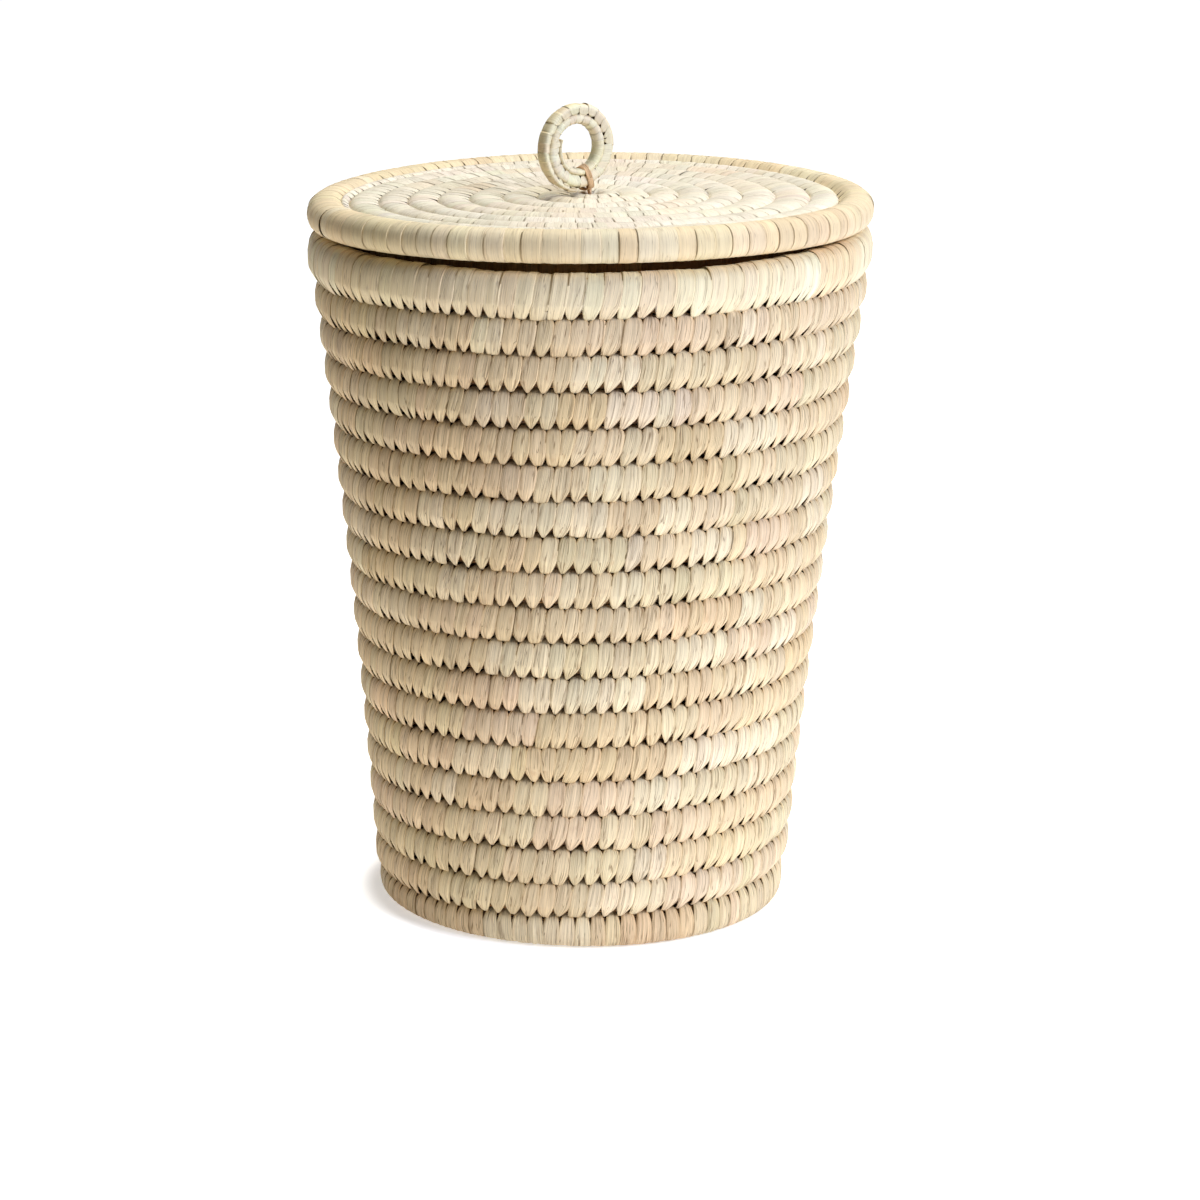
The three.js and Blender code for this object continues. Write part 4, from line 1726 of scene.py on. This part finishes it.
@dataclass
class Lid:
    """The lid: its spiral, its edge, the ring that locates it, and the finger ring.

    Args:
        body: The moving part that its pieces belong to.
        ring_hole: The radius of the finger ring's hole.
        ring_pitch: From one of the ring's turns to the next.
        ring_turns: How many turns it has.
        ring_thickness: How thick it is from front to back.
        ring_angle: How far it is turned on the lid, in degrees.
        ring_lean: How far from its lowest point it is tied down, in degrees.
        tie_thickness: How far the tie under it keeps it off the lid.
        locating_clearance: Between the locating ring and the rim round it.
        locating_width: How wide the locating ring's cord is.
        locating_height: How high it is.
    """

    body: str = "lid"
    ring_hole: float = 15.0
    ring_pitch: float = 8.0
    ring_turns: int = 2
    ring_thickness: float = 11.0
    ring_angle: float = 36.0
    ring_lean: float = 22.0
    tie_thickness: float = 1.4
    locating_clearance: float = 4.0
    locating_width: float = 16.0
    locating_height: float = 16.0

    @property
    def ring_outer(self) -> float:
        """The finger ring's outer radius."""
        return self.ring_hole + self.ring_turns * self.ring_pitch

    def ring_matrix(self) -> Matrix:
        """Finds where the upright finger ring stands in the basket.

        Returns:
            The place of its own axes.
        """
        outer = self.ring_outer
        height = LID_RISE + LID_BOW + LID_THICKNESS + self.tie_thickness + SEAT_GAP / 2 + outer
        reach = outer * math.sin(math.radians(self.ring_lean))
        turned = math.radians(self.ring_angle)
        centre = (-reach * math.cos(turned), -reach * math.sin(turned), height)
        return LID_MATRIX @ Matrix.Translation(centre) @ Matrix.Rotation(turned, 4, "Z")

    def build(self) -> list[bpy.types.Object]:
        """Builds the lid's cords, and then the tie.

        Returns:
            The pieces.
        """
        common = {"slot": "pale_palm_leaf", "growth": Growth.OUT, "first_turn": 0}
        spiral = LidCord(
            "lid_coil", self.body, style=LID_STYLE, palette=Palette.LID, finish=LID_LEAF,
            last_turn=0.4, matrix=LID_MATRIX, split=2.82, seed=41, inner=5.0,
            outer=LID_COIL_RADIUS, bottom=LID_RISE, top=LID_RISE + LID_THICKNESS, gap=0.52,
            **common,
        )
        edge = HoopCord(
            "lid_rim_coil", self.body, style=LID_RIM_STYLE, palette=Palette.LID_RIM,
            finish=LID_LEAF, last_turn=HOOP_END, matrix=LID_MATRIX, split=0.5, seed=51,
            before=spiral, inner=LID_RADIUS - RIM_THICKNESS, outer=LID_RADIUS, bottom=0,
            top=RIM_THICKNESS, **common,
        )
        outer = RIM_OUTER_RADIUS - RIM_THICKNESS - self.locating_clearance
        # The locating ring's dark strips are painted shade.
        locating = HoopCord(
            "lid_locating_ring", self.body, "shaded_palm_leaf", Growth.OUT, RING_STYLE,
            Palette.SHADED, SHADED_LEAF, 0, HOOP_END, LID_MATRIX, seed=61,
            inner=outer - self.locating_width, outer=outer,
            bottom=LID_RISE - ROW_GAP - self.locating_height, top=LID_RISE - ROW_GAP,
        )
        upright = self.ring_matrix() @ Matrix.Rotation(math.pi / 2, 4, "X")
        ring = FingerRing(
            "handle_ring", self.body, style=HANDLE_STYLE, palette=Palette.RING,
            finish=RING_LEAF, last_turn=0.5, matrix=upright, split=3, seed=65,
            inner=self.ring_hole, outer=self.ring_outer, pitch=self.ring_pitch,
            bottom=-self.ring_thickness / 2, top=self.ring_thickness / 2, strands=16,
            stride=2.5, **common,
        )
        knot_top = -(self.ring_outer + LID_THICKNESS + self.tie_thickness + SEAT_GAP * 1.5)
        tie = LeafTie(self.ring_matrix(), self.ring_hole, self.ring_outer,
                      self.ring_thickness / 2, self.ring_lean, knot_top)
        return [piece for part in (spiral, edge, locating, ring, tie) for piece in part.build()]


# ---- Studio ----

SIGHT_RAYS = ("Is Camera Ray", "Is Glossy Ray", "Is Transmission Ray")


@dataclass(frozen=True)
class Lamp:
    """A soft round lamp that faces the basket.

    Args:
        name: Its name.
        place: Where it hangs, in metres.
        size: Its width, in metres.
        power: Its power in watts.
        colour: Its tint.
    """

    name: str
    place: Colour
    size: float
    power: float
    colour: Colour

    def build(self, target: Vector) -> None:
        """Hangs the lamp.

        Args:
            target: The place that it is turned to, in metres.
        """
        data = bpy.data.lights.new(self.name, "AREA")
        data.color = self.colour
        data.shape, data.size, data.energy = "DISK", self.size, self.power
        lamp = bpy.data.objects.new(self.name, data)
        lamp.location = self.place
        aim = target - Vector(self.place)
        lamp.rotation_euler = aim.to_track_quat("-Z", "Y").to_euler()
        bpy.context.scene.collection.objects.link(lamp)


@dataclass
class Studio:
    """The camera, the lamps, the floor and the white world around the basket.

    Args:
        camera_place: Where the camera stands, in metres.
        camera_pitch: How far it is turned up from looking straight down, in degrees.
        camera_roll: How far it is rolled, in degrees.
        lens: Its focal length on a sensor 36 mm wide.
        shift: How far its picture is shifted sideways, as a share of its width.
        lamps: The lamps.
        lit_height: The height that they are turned to, in metres.
        floor_radius: The radius of the floor, in metres.
        floor_colour: Its colour.
        shadow_edge: From where to where the camera sees the floor turn white.
        glow_start: From where to where the floor starts to light the basket.
        glow_end: From where to where it stops.
        glow_sides: From where to where it changes, from left to right.
        glow_power: How strong the glow is at the left, and how much it gains to the right.
        glow_red: The red in it.
        glow_green: The green in it at the left, and how much that gains to the right.
        glow_blue: The same for blue.
        world_light: How strong the light of the world is.
    """

    camera_place: Colour = (0.0, -2.6377, 0.8945)
    camera_pitch: float = 75.544
    camera_roll: float = 0.8365
    lens: float = 112.97
    shift: float = 0.01253
    lamps: tuple[Lamp, ...] = (
        Lamp("key", (2.03, -1.66, 2.1), 1.3, 60, (0.94, 1.0, 1.21)),
        Lamp("top", (0.4, 0.3, 2.7), 1.6, 44, (1.0, 0.985, 0.92)),
    )
    lit_height: float = 0.28
    floor_radius: float = 9.0
    floor_colour: Colour = (0.94, 0.94, 0.94)
    shadow_edge: tuple[float, float] = (0.149, 0.166)
    glow_start: tuple[float, float] = (0.11, 0.21)
    glow_end: tuple[float, float] = (0.9, 1.7)
    glow_sides: tuple[float, float] = (-0.45, 0.15)
    glow_power: tuple[float, float] = (0.6, 0.38)
    glow_red: float = 1.08
    glow_green: tuple[float, float] = (0.85, 0.23)
    glow_blue: tuple[float, float] = (0.49, 0.67)
    world_light: float = 0.02

    def build_camera(self) -> None:
        """Sets the camera where the photograph was taken from."""
        data = bpy.data.cameras.new("camera")
        data.lens, data.sensor_width, data.shift_x = self.lens, 36.0, self.shift
        camera = bpy.data.objects.new("camera", data)
        camera.matrix_world = (
            Matrix.Translation(self.camera_place)
            @ Matrix.Rotation(math.radians(self.camera_pitch), 4, "X")
            @ Matrix.Rotation(math.radians(self.camera_roll), 4, "Z")
        )
        bpy.context.scene.collection.objects.link(camera)
        bpy.context.scene.camera = camera

    def build_floor(self) -> None:
        """Lays a round white floor that keeps the basket's shadow."""
        turn = np.linspace(0, 2 * np.pi, 96, endpoint=False)
        ring = np.stack([np.cos(turn), np.sin(turn), 0 * turn], -1) * self.floor_radius
        mesh = bpy.data.meshes.new("floor")
        mesh.from_pydata(ring.tolist(), [], [list(range(len(turn)))])
        floor = bpy.data.objects.new("floor", mesh)
        floor.location.z = -0.0003
        bpy.context.scene.collection.objects.link(floor)
        mesh.materials.append(self.floor_finish())

    def floor_finish(self) -> bpy.types.Material:
        """Makes the floor white where the camera sees it, and tints what it casts up.

        Returns:
            The material.
        """
        made = bpy.data.materials.new("floor")
        made.use_nodes = True
        graph = Graph(made.node_tree)
        shader = made.node_tree.nodes["Principled BSDF"]
        for name, value in (("Base Color", (*self.floor_colour, 1)), ("Roughness", 1.0),
                            ("Specular IOR Level", 0.0), ("Emission Strength", 1.0)):
            shader.inputs[name].default_value = value
        place = graph.make("ShaderNodeNewGeometry", output="Position")
        distance = graph.make("ShaderNodeVectorMath", {"operation": "LENGTH"}, {0: place}, 1)
        white = graph.ramp(distance, *self.shadow_edge) * 0.5 + 0.5
        across = graph.make("ShaderNodeSeparateXYZ", None, {0: place})
        near = graph.ramp(distance, *self.glow_start) * (1 - graph.ramp(
            distance, *self.glow_end))
        side = graph.ramp(across, *self.glow_sides)
        bounce = near * (self.glow_power[0] + side * self.glow_power[1])
        seen = graph.make("ShaderNodeCombineColor", None, {0: white, 1: white, 2: white})
        cast = graph.make("ShaderNodeCombineColor", None, {
            0: bounce * self.glow_red,
            1: bounce * (self.glow_green[0] + side * self.glow_green[1]),
            2: bounce * (self.glow_blue[0] + side * self.glow_blue[1])})
        glow = graph.blend(self.seen_directly(graph), cast, seen)
        made.node_tree.links.new(glow.socket, shader.inputs["Emission Color"])
        return made

    @staticmethod
    def seen_directly(graph: Graph) -> Signal:
        """1 for the camera, mirrors and glass, and 0 for the light that falls on things."""
        camera, gloss, glass = (graph.make("ShaderNodeLightPath", output=n) for n in SIGHT_RAYS)
        return graph.make("ShaderNodeClamp", None, {"Value": camera + gloss + glass})

    def build_world(self) -> None:
        """Makes a white world that lights the basket evenly."""
        world = bpy.data.worlds.new("world")
        bpy.context.scene.world = world
        world.use_nodes = True
        graph = Graph(world.node_tree)
        background = world.node_tree.nodes["Background"]
        seen = self.seen_directly(graph)
        strength = seen * (1 - self.world_light) + self.world_light
        world.node_tree.links.new(strength.socket, background.inputs["Strength"])
        background.inputs["Color"].default_value = (1, 1, 1, 1)

    def build(self) -> None:
        """Sets up the whole studio."""
        self.build_camera()
        self.build_world()
        self.build_floor()
        for lamp in self.lamps:
            lamp.build(Vector((0, 0, self.lit_height)))
        bpy.context.scene.view_settings.view_transform = "Standard"


def main() -> None:
    """Builds the studio and the basket, and writes how large the result is."""
    logging.basicConfig(level=logging.INFO, format="%(name)s: %(message)s")
    Studio().build()
    for part in (Basket(), Lid()):
        for piece in part.build():
            LOG.info("%s: %d faces", piece.name, len(piece.data.polygons))


if __name__ == "__main__":
    main()
